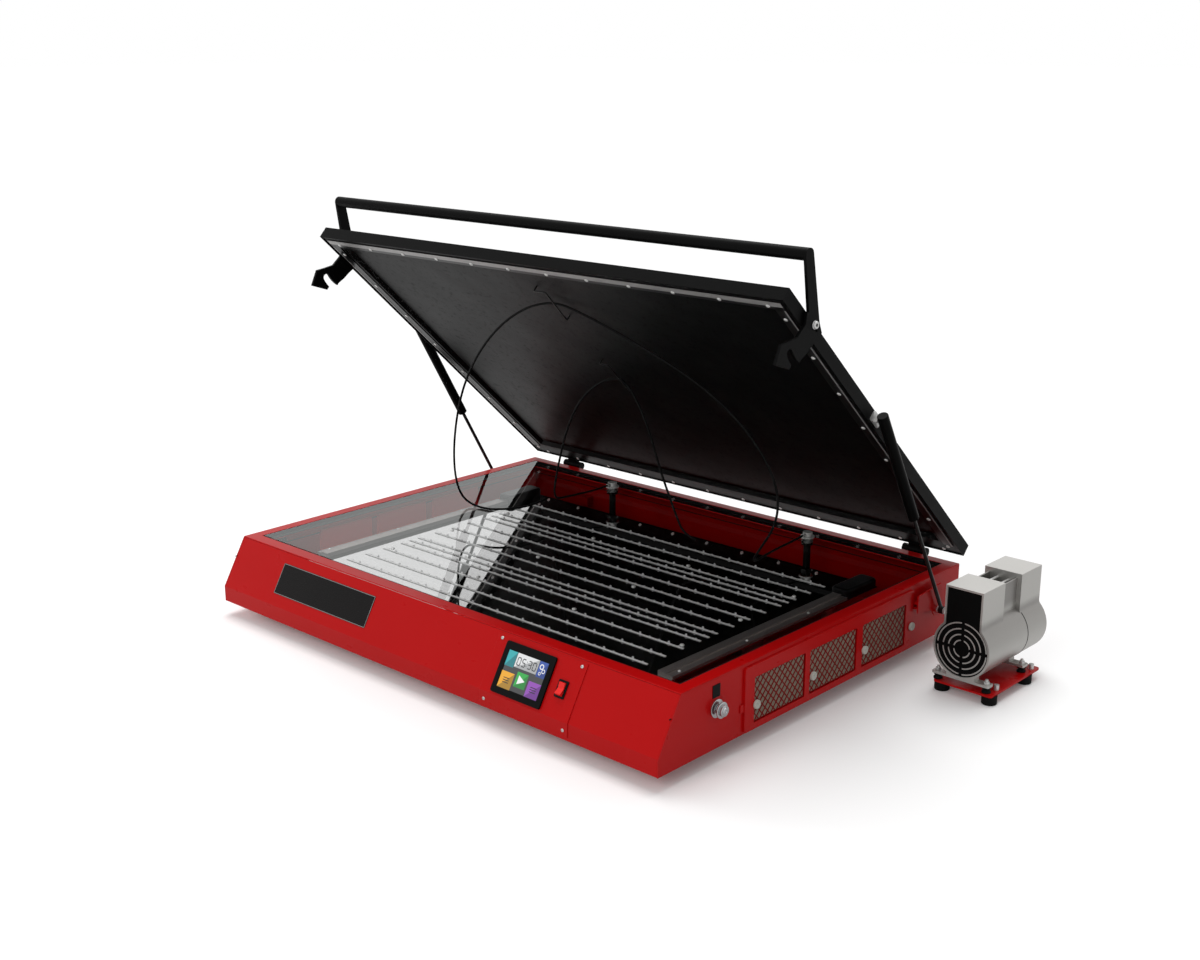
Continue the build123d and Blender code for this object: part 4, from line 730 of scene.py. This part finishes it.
metres = Matrix.Scale(mm, 4)
slope_rise, slope_run = 0.8653, 0.5012
slope_up = Vector((0, slope_run, slope_rise))
slope_out = Vector((0, -slope_rise, slope_run))
hinge = Vector((0, hinge_y, hinge_z))


def facing(origin, direction, up=(0, 0, 1)):
    """A place at origin in mm, its Z axis along direction and its Y axis nearest to up."""
    out = Vector(direction).normalized()
    side = Vector(up).cross(out).normalized()
    turned = Matrix((side, out.cross(side), out)).transposed().to_4x4()
    return metres @ Matrix.Translation(Vector(origin)) @ turned


slope_place = facing((0, front_y, crease_z), slope_out, slope_up)
lid_place = (
    metres
    @ Matrix.Translation(hinge)
    @ Matrix.Rotation(radians(-open_angle), 4, "X")
    @ Matrix.Translation(-hinge)
)


def on_slope(x, up, out=0.0):
    """A place on the front slope, up from its lower edge and out from its face, in mm."""
    return slope_place @ Matrix.Translation((x, up, out))


def under_lid(x, y, z):
    """A place on the lid's underside in the closed lid's mm, facing down."""
    return lid_place @ Matrix.Translation((x, y, z)) @ Matrix.Rotation(pi, 4, "X")


def turn_shape(bm, place, profile, sides=20, material=0):
    """A turned shape about the place's Z axis, its profile in (radius, height)."""
    rows = []
    for radius, height in profile:
        count = sides if radius > 0 else 1
        angles = [2 * pi * k / sides for k in range(count)]
        spots = [(radius * cos(angle), radius * sin(angle), height) for angle in angles]
        rows.append([bm.verts.new(place @ Vector(spot)) for spot in spots])
    for row, following in zip(rows, rows[1:]):
        for k in range(sides):
            after = (k + 1) % sides
            corners = [row[k % len(row)], row[after % len(row)]]
            corners += [following[after % len(following)], following[k % len(following)]]
            distinct = list(dict.fromkeys(corners))
            bm.faces.new(distinct).material_index = material


def flat_shape(bm, place, outline, low, high, material=0):
    """An outline in (x, y) made into a plate from height low to high."""
    under = [bm.verts.new(place @ Vector((x, y, low))) for x, y in outline]
    over = [bm.verts.new(place @ Vector((x, y, high))) for x, y in outline]
    faces = [bm.faces.new(under[::-1]), bm.faces.new(over)]
    for k in range(len(outline)):
        after = (k + 1) % len(outline)
        faces.append(bm.faces.new((under[k], under[after], over[after], over[k])))
    for face in faces:
        face.material_index = material


def rectangle(x, y, width, height):
    left, right = x - width / 2, x + width / 2
    low, high = y - height / 2, y + height / 2
    return [(left, low), (right, low), (right, high), (left, high)]


def arc_outline(radius, width, start, sweep, steps=14):
    """The outline of a curved bar about the origin, with rounded ends."""
    outline = []
    for k in range(steps + 1):
        angle = radians(start + sweep * k / steps)
        outline.append(((radius + width / 2) * cos(angle), (radius + width / 2) * sin(angle)))
    for k in range(steps, -1, -1):
        angle = radians(start + sweep * k / steps)
        outline.append(((radius - width / 2) * cos(angle), (radius - width / 2) * sin(angle)))
    return outline


def domed_screw(bm, place, radius, height):
    """A low domed screw head with a socket in its middle."""
    turn_shape(
        bm,
        place,
        [
            (0, height * 0.35), (radius * 0.36, height * 0.35), (radius * 0.42, height),
            (radius * 0.62, height * 0.96), (radius * 0.85, height * 0.72),
            (radius * 0.97, height * 0.38), (radius, 0.12 * height), (radius * 0.96, 0), (0, 0),
        ],
        18,
    )


# ================================================================ LED strips and the tray

tray_top = 121
first_strip_y = 272.5
strip_pitch = 51
strip_count = 12
extra_strips = (2.5, 7.5)  # two more strips lie between their neighbours
strip_length = 870
led_pitch = 72
chip_offset = 24
rail_x = 505
rail_top = 127
rail_mid_y = -36
rail_screw_pitch = 198
tray_screw_xs = (-420, -140, 140, 420)
tray_mid_y = first_strip_y - 5.25 * strip_pitch
tray_screw_pitch = 3.5 * strip_pitch
control_x = 304.5
control_screw_x = 101
control_screw_up = 102
control_screw_down = 15.5


def led_strips():
    """Dark bases with a white board each, a milky cap over every LED and chips between them."""
    bm = bmesh.new()
    base, board, caps = 2, 0, 1
    for k in [*range(strip_count), *extra_strips]:
        place = metres @ Matrix.Translation((0, first_strip_y - strip_pitch * k, tray_top))
        flat_shape(bm, place, rectangle(0, 0, strip_length, 6.0), 0, 0.4, base)
        flat_shape(bm, place, rectangle(0, 0, strip_length - 2, 4.6), 0.4, 1.2, board)
        for led in range(12):
            x = led_pitch * (led - 5.5)
            cap = place @ Matrix.Translation((x, 2.6, 0.4))
            turn_shape(bm, cap, [(2.1, 0), (2.1, 2.8), (1.9, 3.6), (1.2, 4.3), (0, 4.6)], 14, caps)
            for chip in (-chip_offset, chip_offset):
                flat_shape(bm, place, rectangle(x + chip, 2.8, 2.4, 2.2), 0.4, 2.4, caps)
    finishes = [board_white, lens_milky, black_moulding]
    strips = new_piece("led_strip_boards", bm, finishes, "cabinet", ["led_strips"])


def tray_screws():
    """Domed screws in the tray and along the rails, and the four of the control plate."""
    bm = bmesh.new()
    for side in (-1, 1):
        for k in (-1, 0, 1):
            y = rail_mid_y - rail_screw_pitch * 0.25 + rail_screw_pitch * k
            domed_screw(bm, metres @ Matrix.Translation((side * rail_x, y, rail_top)), 3.2, 2)
    for x in tray_screw_xs:
        for k in (-1, 0, 1):
            y = tray_mid_y + tray_screw_pitch * k
            domed_screw(bm, metres @ Matrix.Translation((x, y, tray_top)), 4.5, 2.5)
    for side in (-1, 1):
        x = control_x + side * control_screw_x
        upright = facing((x, front_y - 1.5, crease_z - control_screw_down), (0, -1, 0))
        domed_screw(bm, on_slope(x, control_screw_up, 1.5), 3.4, 1.8)
        domed_screw(bm, upright, 3.4, 1.8)
    screws = new_piece("tray_and_plate_screws", bm, bright_steel, "cabinet", ["panel_screws"])


led_strips()
tray_screws()


# ================================================================ lid

lid_half_width = 627.5
lid_front_y, lid_rear_y = -425.7, 484
lid_mid_y = 29.5
clamp_inset = 25.8  # from the lid's edge to the middle of the clamp screws
clamp_top, clamp_lip, clamp_low = 170, 168.5, 168
clamp_width = 22
clamp_length_x, clamp_length_y = 1230, 841
front_screw_pitch = 106
side_screw_pitch = 116.8
pivot_y, pivot_z = -328.4, 187


def lid_screws():
    """The domed screws that hold the clamp strips and the blanket's rear edge."""
    bm = bmesh.new()
    screw_xs = [front_screw_pitch * (k - 5.5) for k in range(12)]
    side_ys = [lid_rear_y - 29.5 - side_screw_pitch * k for k in range(8)]
    side_x = lid_half_width - clamp_inset
    places = [(x, lid_front_y + clamp_inset, clamp_low) for x in screw_xs]
    places += [(side * side_x, y, clamp_low) for y in side_ys for side in (-1, 1)]
    places += [(x, lid_rear_y - 9, clamp_top) for x in screw_xs]
    for spot in places:
        domed_screw(bm, under_lid(*spot), 4.2, 1.6)
    heads = new_piece("lid_screw_heads", bm, bright_steel, "lid", ["clamp_screws"])


def clamp_plates():
    """The strips that clamp the blanket, dark with a bright outer lip."""
    bm = bmesh.new()
    bright, dark = 0, 1
    front = lid_front_y + 12.5
    plates = [(0, front + 11, clamp_length_x, clamp_width)]
    lips = [(0, front + 6.4, clamp_length_x, 12.8)]
    for side in (-1, 1):
        plates.append((side * 604, lid_mid_y, clamp_width, clamp_length_y))
        lips.append((side * 613.3, lid_mid_y, 3.4, clamp_length_y))
    for plate, lip in zip(plates, lips):
        flat_shape(bm, lid_place, rectangle(*plate), clamp_lip, clamp_top, dark)
        flat_shape(bm, lid_place, rectangle(*lip), clamp_low, clamp_lip, bright)
    strips = new_piece("clamp_plates", bm, [clamp_aluminium, dark_steel], "lid", ["clamp_strips"])


def pivot_bolts():
    """The handle's two bolts, each a ring round a dark socket, and the small screw behind each."""
    bm = bmesh.new()
    ring = [
        (0, -8), (4.8, -8), (4.8, 0), (6.4, 0), (6.4, 1.2), (4.8, 1.2), (4.8, 7.8), (7.8, 7.8),
        (7.8, 8.6), (7.0, 9.4), (7.0, 11.2), (6.3, 12.2), (3.5, 12.6), (3.0, 12.2), (3.0, 9.8),
        (0, 9.8),
    ]
    socket = [(0, 9.85), (2.9, 9.85), (2.9, 10.4), (0, 10.4)]
    for side in (-1, 1):
        turned = Matrix.Rotation(side * pi / 2, 4, "Y")
        bolt = lid_place @ Matrix.Translation((side * lid_half_width, pivot_y, pivot_z)) @ turned
        turn_shape(bm, bolt, ring, 28)
        turn_shape(bm, bolt, socket, 28, 1)
        screw_spot = (side * lid_half_width, pivot_y + 20, pivot_z - 4)
        domed_screw(bm, lid_place @ Matrix.Translation(screw_spot) @ turned, 4.6, 1.8)
    finishes = [bright_steel, black_moulding]
    bolts = new_piece("handle_pivot_turnings", bm, finishes, "lid", ["handle_pivot_bolts"])


lid_screws()
clamp_plates()
pivot_bolts()


# ================================================================ controls

screen_x, screen_up = 284, 51.5
screen_width, screen_height = 101, 70
screen_out = 5.1
plate_x, plate_up = -309, 58.5
plate_width, plate_height = 302, 67
plate_line = 1.0
plate_line_inset = 1.2

# Which of a digit's seven lines are lit: the top, the upper right and so on round, the middle.
lit_lines = {0: (1, 1, 1, 1, 1, 1, 0), 3: (1, 1, 1, 1, 0, 0, 1), 5: (1, 0, 1, 1, 0, 1, 1)}


def screen_spot(u, v):
    """A spot on the screen, from its top left corner across and down, each from 0 to 1."""
    return (screen_x + screen_width * (u - 0.5), screen_up + screen_height * (0.5 - v))


def screen_layer(bm, outline, low, high, material):
    """A thin shape on the slope, low and high counted from the screen's own face."""
    flat_shape(bm, slope_place, outline, screen_out + low, screen_out + high, material)


def screen_mark(bm, outline, material):
    """A thin mark that lies on the screen's tiles."""
    screen_layer(bm, outline, 0.14, 0.2, material)


def digit_shape(bm, x, y, size, digit, material):
    """A digit of seven lines with its centre at x, y on the slope."""
    thick = size * 0.13
    half = size * 0.27
    spots = [
        (0, size / 2, 1), (half, size / 4, 0), (half, -size / 4, 0), (0, -size / 2, 1),
        (-half, -size / 4, 0), (-half, size / 4, 0), (0, 0, 1),
    ]
    for lit, (across, up, level) in zip(lit_lines[digit], spots):
        if lit:
            width, height = (half * 1.8, thick) if level else (thick, size * 0.42)
            screen_mark(bm, rectangle(x + across, y + up, width, height), material)


def screen_picture():
    """The lit screen, six plain tiles on grey with a number, a start arrow and rings."""
    tones = [
        ("screen_grey", (0.050, 0.052, 0.055)), ("teal_light", (0.030, 0.42, 0.45)),
        ("teal_dark", (0.015, 0.22, 0.25)), ("pale_light", (0.80, 0.81, 0.82)),
        ("pale_dark", (0.42, 0.43, 0.44)), ("blue_light", (0.035, 0.095, 0.40)),
        ("blue_dark", (0.020, 0.055, 0.26)), ("orange_light", (0.90, 0.42, 0.020)),
        ("orange_dark", (0.42, 0.22, 0.015)), ("green_light", (0.030, 0.42, 0.070)),
        ("green_dark", (0.015, 0.25, 0.040)), ("purple_light", (0.30, 0.075, 0.48)),
        ("purple_dark", (0.16, 0.030, 0.28)), ("mark_dark", (0.012, 0.012, 0.014)),
        ("mark_white", grey(0.95)),
    ]
    materials = [glowing(name, tone, 0.9) for name, tone in tones]
    number = {name: k for k, (name, tone) in enumerate(tones)}
    bm = bmesh.new()
    ground = rectangle(screen_x, screen_up, screen_width - 1, screen_height - 1)
    screen_layer(bm, ground, 0, 0.04, number["screen_grey"])
    tiles = [
        ("teal", 0.0, 0.0, 0.22, 0.42), ("pale", 0.23, 0.0, 0.78, 0.38),
        ("blue", 0.79, 0.0, 1.0, 0.42), ("orange", 0.0, 0.56, 0.32, 1.0),
        ("green", 0.37, 0.46, 0.645, 0.86), ("purple", 0.69, 0.58, 1.0, 1.0),
    ]
    for name, left, top, right, bottom in tiles:
        top_left, top_right = screen_spot(left, top), screen_spot(right, top)
        low_left, low_right = screen_spot(left, bottom), screen_spot(right, bottom)
        lower = [low_left, low_right, top_right]
        upper = [low_left, top_right, top_left]
        screen_layer(bm, lower, 0.05, 0.1, number[name + "_dark"])
        screen_layer(bm, upper, 0.05, 0.1, number[name + "_light"])
    for digit, u in ((0, 0.31), (5, 0.43), (3, 0.58), (0, 0.70)):
        digit_shape(bm, *screen_spot(u, 0.21), 14, digit, number["mark_dark"])
    for v in (0.15, 0.27):
        screen_mark(bm, rectangle(*screen_spot(0.505, v), 1.6, 1.6), number["mark_dark"])
    arrow = [screen_spot(0.43, 0.54), screen_spot(0.43, 0.78), screen_spot(0.60, 0.66)]
    screen_mark(bm, arrow, number["mark_white"])
    for u, v, radius in ((0.865, 0.14, 4.2), (0.93, 0.24, 3.4), (0.86, 0.32, 2.6)):
        x, y = screen_spot(u, v)
        for start in (0, 180):
            half_ring = arc_outline(radius, radius * 0.42, start, 180, 8)
            screen_mark(bm, [(x + across, y + up) for across, up in half_ring], number["mark_white"])
    for u in (0.16, 0.845):
        for v in (0.72, 0.78, 0.84):
            screen_mark(bm, rectangle(*screen_spot(u, v), 15, 1.6), number["mark_dark"])
    new_piece("screen_picture", bm, materials, "cabinet")


def name_plate_edge():
    """The thin bright line round the bare plate."""
    bm = bmesh.new()
    side_x = plate_width / 2 - plate_line_inset
    end_y = plate_height / 2 - plate_line_inset
    for end in (1, -1):
        line = rectangle(plate_x, plate_up + end * end_y, plate_width - 2, plate_line)
        flat_shape(bm, slope_place, line, 0.8, 0.95)
    for side in (1, -1):
        line = rectangle(plate_x + side * side_x, plate_up, plate_line, plate_height - 2)
        flat_shape(bm, slope_place, line, 0.8, 0.95)
    new_piece("name_plate_edge", bm, clamp_aluminium, "cabinet")


screen_picture()
name_plate_edge()


# ================================================================ pump details

pump_x = 789
pump_axis_z = 99
pump_faces = ((214.5, -1), (436.5, 1))
barrel_radius = 60
barrel_joint_y = 363
ring_radii = (52, 40, 28.5, 17)
ring_gap = 7
ring_width = 2.6


def grille_rings():
    """Light guard rings set in the slots of both end plates of the pump."""
    bm = bmesh.new()
    for face_y, direction in pump_faces:
        place = facing((pump_x, face_y, pump_axis_z), (0, direction, 0))
        for radius in ring_radii:
            gap = ring_gap / radius * 180 / pi
            for quarter in range(4):
                outline = arc_outline(radius, ring_width, quarter * 90 + gap / 2, 90 - gap)
                flat_shape(bm, place, outline, -2.2, -0.2)
    new_piece("grille_rings", bm, pale_casting, "cabinet")


def casing_seam():
    """The dark joint between the barrel's two halves, below the rear box."""
    bm = bmesh.new()
    place = facing((pump_x, barrel_joint_y, pump_axis_z), (0, -1, 0))
    flat_shape(bm, place, arc_outline(barrel_radius, 0.8, 130, 280, 40), -0.8, 0.8)
    new_piece("casing_seam", bm, black_moulding, "cabinet")


grille_rings()
casing_seam()


# ================================================================ cabinet details

seam_low, seam_high = 124.5, 126.3
disc_ys = (-218.5, -46, 125.3, 294)
disc_z = 80
window_starts = (-223.5, -54.8, 119)  # the front end of each vent window
window_length = 154
net_margin = 2
net_low_z, net_high_z = 43, 134.5
net_pitch_y, net_pitch_z = 16.5, 17.5
net_bar_width, net_bar_thickness = 1.9, 1.1
shortest_bar = 4
latch_y, latch_z = -326.4, 106.3


def wall_seams():
    """A black strip where the upper and lower inner walls meet, partly the joint and partly the painted
    shadow of its lip.
    """
    bm = bmesh.new()
    flat_shape(bm, metres, rectangle(0, rear_y - 2.6, 1240, 1.2), seam_low, seam_high)
    for side in (-1, 1):
        wall = rectangle(side * (half_width - 2.6), 0, 1.2, 900)
        flat_shape(bm, metres, wall, seam_low, seam_high)
    new_piece("wall_seams", bm, black_moulding, "cabinet")


def cover_tabs():
    """The small tab at the front edge of each vent cover."""
    bm = bmesh.new()
    for side in (-1, 1):
        low, high = sorted((side * half_width, side * (half_width + 2.4)))
        flat_shape(bm, metres, rectangle((low + high) / 2, -255.5, high - low, 11), 74, 90)
    tabs = new_piece("cover_tabs", bm, red_enamel, "cabinet")
    round_edges(tabs, 0.8)


def vent_discs():
    """Turned discs that hold the vent covers, each with a dished face."""
    bm = bmesh.new()
    disc = [
        (0, -1.6), (3, -1.6), (3, 0), (7.8, 0), (8.5, 0.9), (8.5, 3.9), (7.9, 4.8), (6.9, 5),
        (5.6, 4.4), (2.2, 4.2), (1.4, 3.2), (0, 3.2),
    ]
    for side in (-1, 1):
        for y in disc_ys:
            turn_shape(bm, facing((side * (half_width + 4), y, disc_z), (side, 0, 0)), disc, 32)
    new_piece("vent_discs", bm, grey_moulding, "cabinet", ["vent_knobs"])


def net_bar(middle_y, lean, low_y, high_y):
    """The ends of one slanted bar of a net, each (y, z), cut at both sides of the net."""
    slant = lean * net_pitch_y
    ends = []
    for z in (net_low_z, net_high_z):
        ends.append([middle_y + slant * (z - (net_low_z + net_high_z) / 2) / net_pitch_z, z])
    (y1, z1), (y2, z2) = ends
    if max(y1, y2) <= low_y or min(y1, y2) >= high_y:
        return None
    rise = (z2 - z1) / (y2 - y1)
    for end in ends:
        kept = min(max(end[0], low_y), high_y)
        end[1] += (kept - end[0]) * rise
        end[0] = kept
    return None if dist(*ends) < shortest_bar else ends


def bar_outline(ends):
    """The four corners of a bar of the net, each (y, z)."""
    (y1, z1), (y2, z2) = ends
    half = net_bar_width / dist(*ends) / 2
    off_y, off_z = (z1 - z2) * half, (y2 - y1) * half
    return [
        (y1 + off_y, z1 + off_z), (y1 - off_y, z1 - off_z),
        (y2 - off_y, z2 - off_z), (y2 + off_y, z2 + off_z),
    ]


def vent_nets():
    """Diamond nets of thin red bars behind the windows of both covers."""
    for side, name in ((1, "right"), (-1, "left")):
        bm = bmesh.new()
        place = facing((side * (half_width + 1), 0, 0), (side, 0, 0))
        for start in window_starts:
            low_y, high_y = start - net_margin, start + window_length + net_margin
            for lean, lift in ((1, 0.0), (-1, 0.08)):
                for k in range(-12, 13):
                    middle_y = start + window_length / 2 + net_pitch_y * k
                    ends = net_bar(middle_y, lean, low_y, high_y)
                    if ends:
                        outline = [(side * y, z) for y, z in bar_outline(ends)]
                        flat_shape(bm, place, outline, lift, net_bar_thickness + lift)
        nets = new_piece(name + "_vent_nets", bm, net_enamel, "cabinet", [name + "_vent_mesh"])


def latch_pins():
    """The turned pins that the handle's hooks close on, with their washers and nuts."""
    bm = bmesh.new()
    pin = [
        (0, 0), (15.5, 0), (17, 0.4), (17, 2.0), (16.2, 2.5), (8.2, 2.5), (8.2, 3.4), (6.5, 3.8),
        (6.5, 10.6), (8.0, 11), (14.2, 11), (15, 11.5), (15, 13), (14.2, 13.5), (10.6, 13.5),
        (10.6, 18.2), (9.6, 19.4), (7.0, 19.4), (6.4, 20.6), (5.4, 21), (2.4, 21), (1.8, 19.8),
        (0, 19.8),
    ]
    for side in (-1, 1):
        turn_shape(bm, facing((side * half_width, latch_y, latch_z), (side, 0, 0)), pin, 36)
    new_piece("latch_pin_turnings", bm, chrome, "cabinet", ["latch_pins"])


wall_seams()
cover_tabs()
vent_discs()
vent_nets()
latch_pins()


# ================================================================ floor, light, background and camera

floor_glow = 0.06
room_light = 0.40


def stage_floor():
    """A wide pale floor that the camera sees as white, with the object's shadow on it."""
    bm = bmesh.new()
    bmesh.ops.create_grid(bm, x_segments=1, y_segments=1, size=60)
    mesh = bpy.data.meshes.new("floor")
    bm.to_mesh(mesh)
    bm.free()
    paint = new_paint("pale_floor")
    path = paint.node("ShaderNodeLightPath", {}, {}, "Is Camera Ray")
    shade = paint.blend(paint.noise(0.7, 2.0), grey(0.76), grey(0.79))
    plain = paint.node("ShaderNodeBsdfDiffuse", {}, {"Color": shade})
    seen = paint.node("ShaderNodeBsdfDiffuse", {}, {"Color": colour(grey(0.96))})
    glow_inputs = {"Color": colour(grey(1)), "Strength": floor_glow}
    glow = paint.node("ShaderNodeEmission", {}, glow_inputs)
    both = paint.node("ShaderNodeAddShader", {}, {0: seen, 1: glow})
    floor_shader = paint.node("ShaderNodeMixShader", {}, {0: path, 1: plain, 2: both})
    mesh.materials.append(paint.close("ShaderNodeOutputMaterial", floor_shader))
    floor = bpy.data.objects.new("floor", mesh)
    bpy.context.scene.collection.objects.link(floor)


def light_world():
    """Even studio light from all around, with a white background behind the object."""
    world = Paint(bpy.data.worlds.new("studio"))
    rays = [
        world.node("ShaderNodeLightPath", {}, {}, kind)
        for kind in ("Is Camera Ray", "Is Transmission Ray", "Is Glossy Ray")
    ]
    shown = world.most(world.most(rays[0], rays[1]), rays[2])
    white = colour(grey(1))
    dim = world.node("ShaderNodeBackground", {}, {"Color": white, "Strength": room_light})
    bright = world.node("ShaderNodeBackground", {}, {"Color": white, "Strength": 1.0})
    shader = world.node("ShaderNodeMixShader", {}, {0: shown, 1: dim, 2: bright})
    bpy.context.scene.world = world.close("ShaderNodeOutputWorld", shader)


def soft_light(name, place, target, size, power):
    """A wide lamp at place that points at target, both in metres."""
    lamp = bpy.data.lights.new(name, "AREA")
    lamp.shape = "RECTANGLE"
    lamp.size, lamp.size_y = size
    lamp.energy = power
    obj = bpy.data.objects.new(name, lamp)
    obj.visible_glossy = False
    obj.location = place
    obj.rotation_euler = (Vector(target) - Vector(place)).to_track_quat("-Z", "Y").to_euler()
    bpy.context.scene.collection.objects.link(obj)


def soft_sun(name, away_from, spread, strength):
    """Light from one side of the sky, its spread in degrees."""
    lamp = bpy.data.lights.new(name, "SUN")
    lamp.angle = radians(spread)
    lamp.energy = strength
    obj = bpy.data.objects.new(name, lamp)
    obj.rotation_euler = Vector(away_from).to_track_quat("Z", "Y").to_euler()
    bpy.context.scene.collection.objects.link(obj)


def place_camera(target, azimuth, elevation, distance, lens):
    """The camera that looks at target from the photo's angle, in degrees from the front."""
    data = bpy.data.cameras.new("camera")
    data.lens = lens
    data.sensor_width = 36
    data.sensor_fit = "HORIZONTAL"
    camera = bpy.data.objects.new("camera", data)
    turn, lift = radians(azimuth), radians(elevation)
    away = Vector((sin(turn) * cos(lift), -cos(turn) * cos(lift), sin(lift)))
    camera.location = Vector(target) + away * distance
    camera.rotation_euler = (-away).to_track_quat("-Z", "Y").to_euler()
    bpy.context.scene.collection.objects.link(camera)
    bpy.context.scene.camera = camera


stage_floor()
light_world()
soft_sun("top_light", (-0.25, 0.30, 1.0), 50, 2.0)
soft_light("front_light", (0.8, -3.3, 2.0), (0, -0.3, 0.1), (2.6, 1.4), 30)
soft_light("left_light", (-3.2, -1.3, 1.1), (0.2, 0.1, 0.1), (1.4, 0.9), 30)
place_camera((-0.6707, 0.7798, 0.03005), 42.73, 16.03, 4.3149, 46.38)
bpy.context.scene.view_settings.view_transform = "Standard"
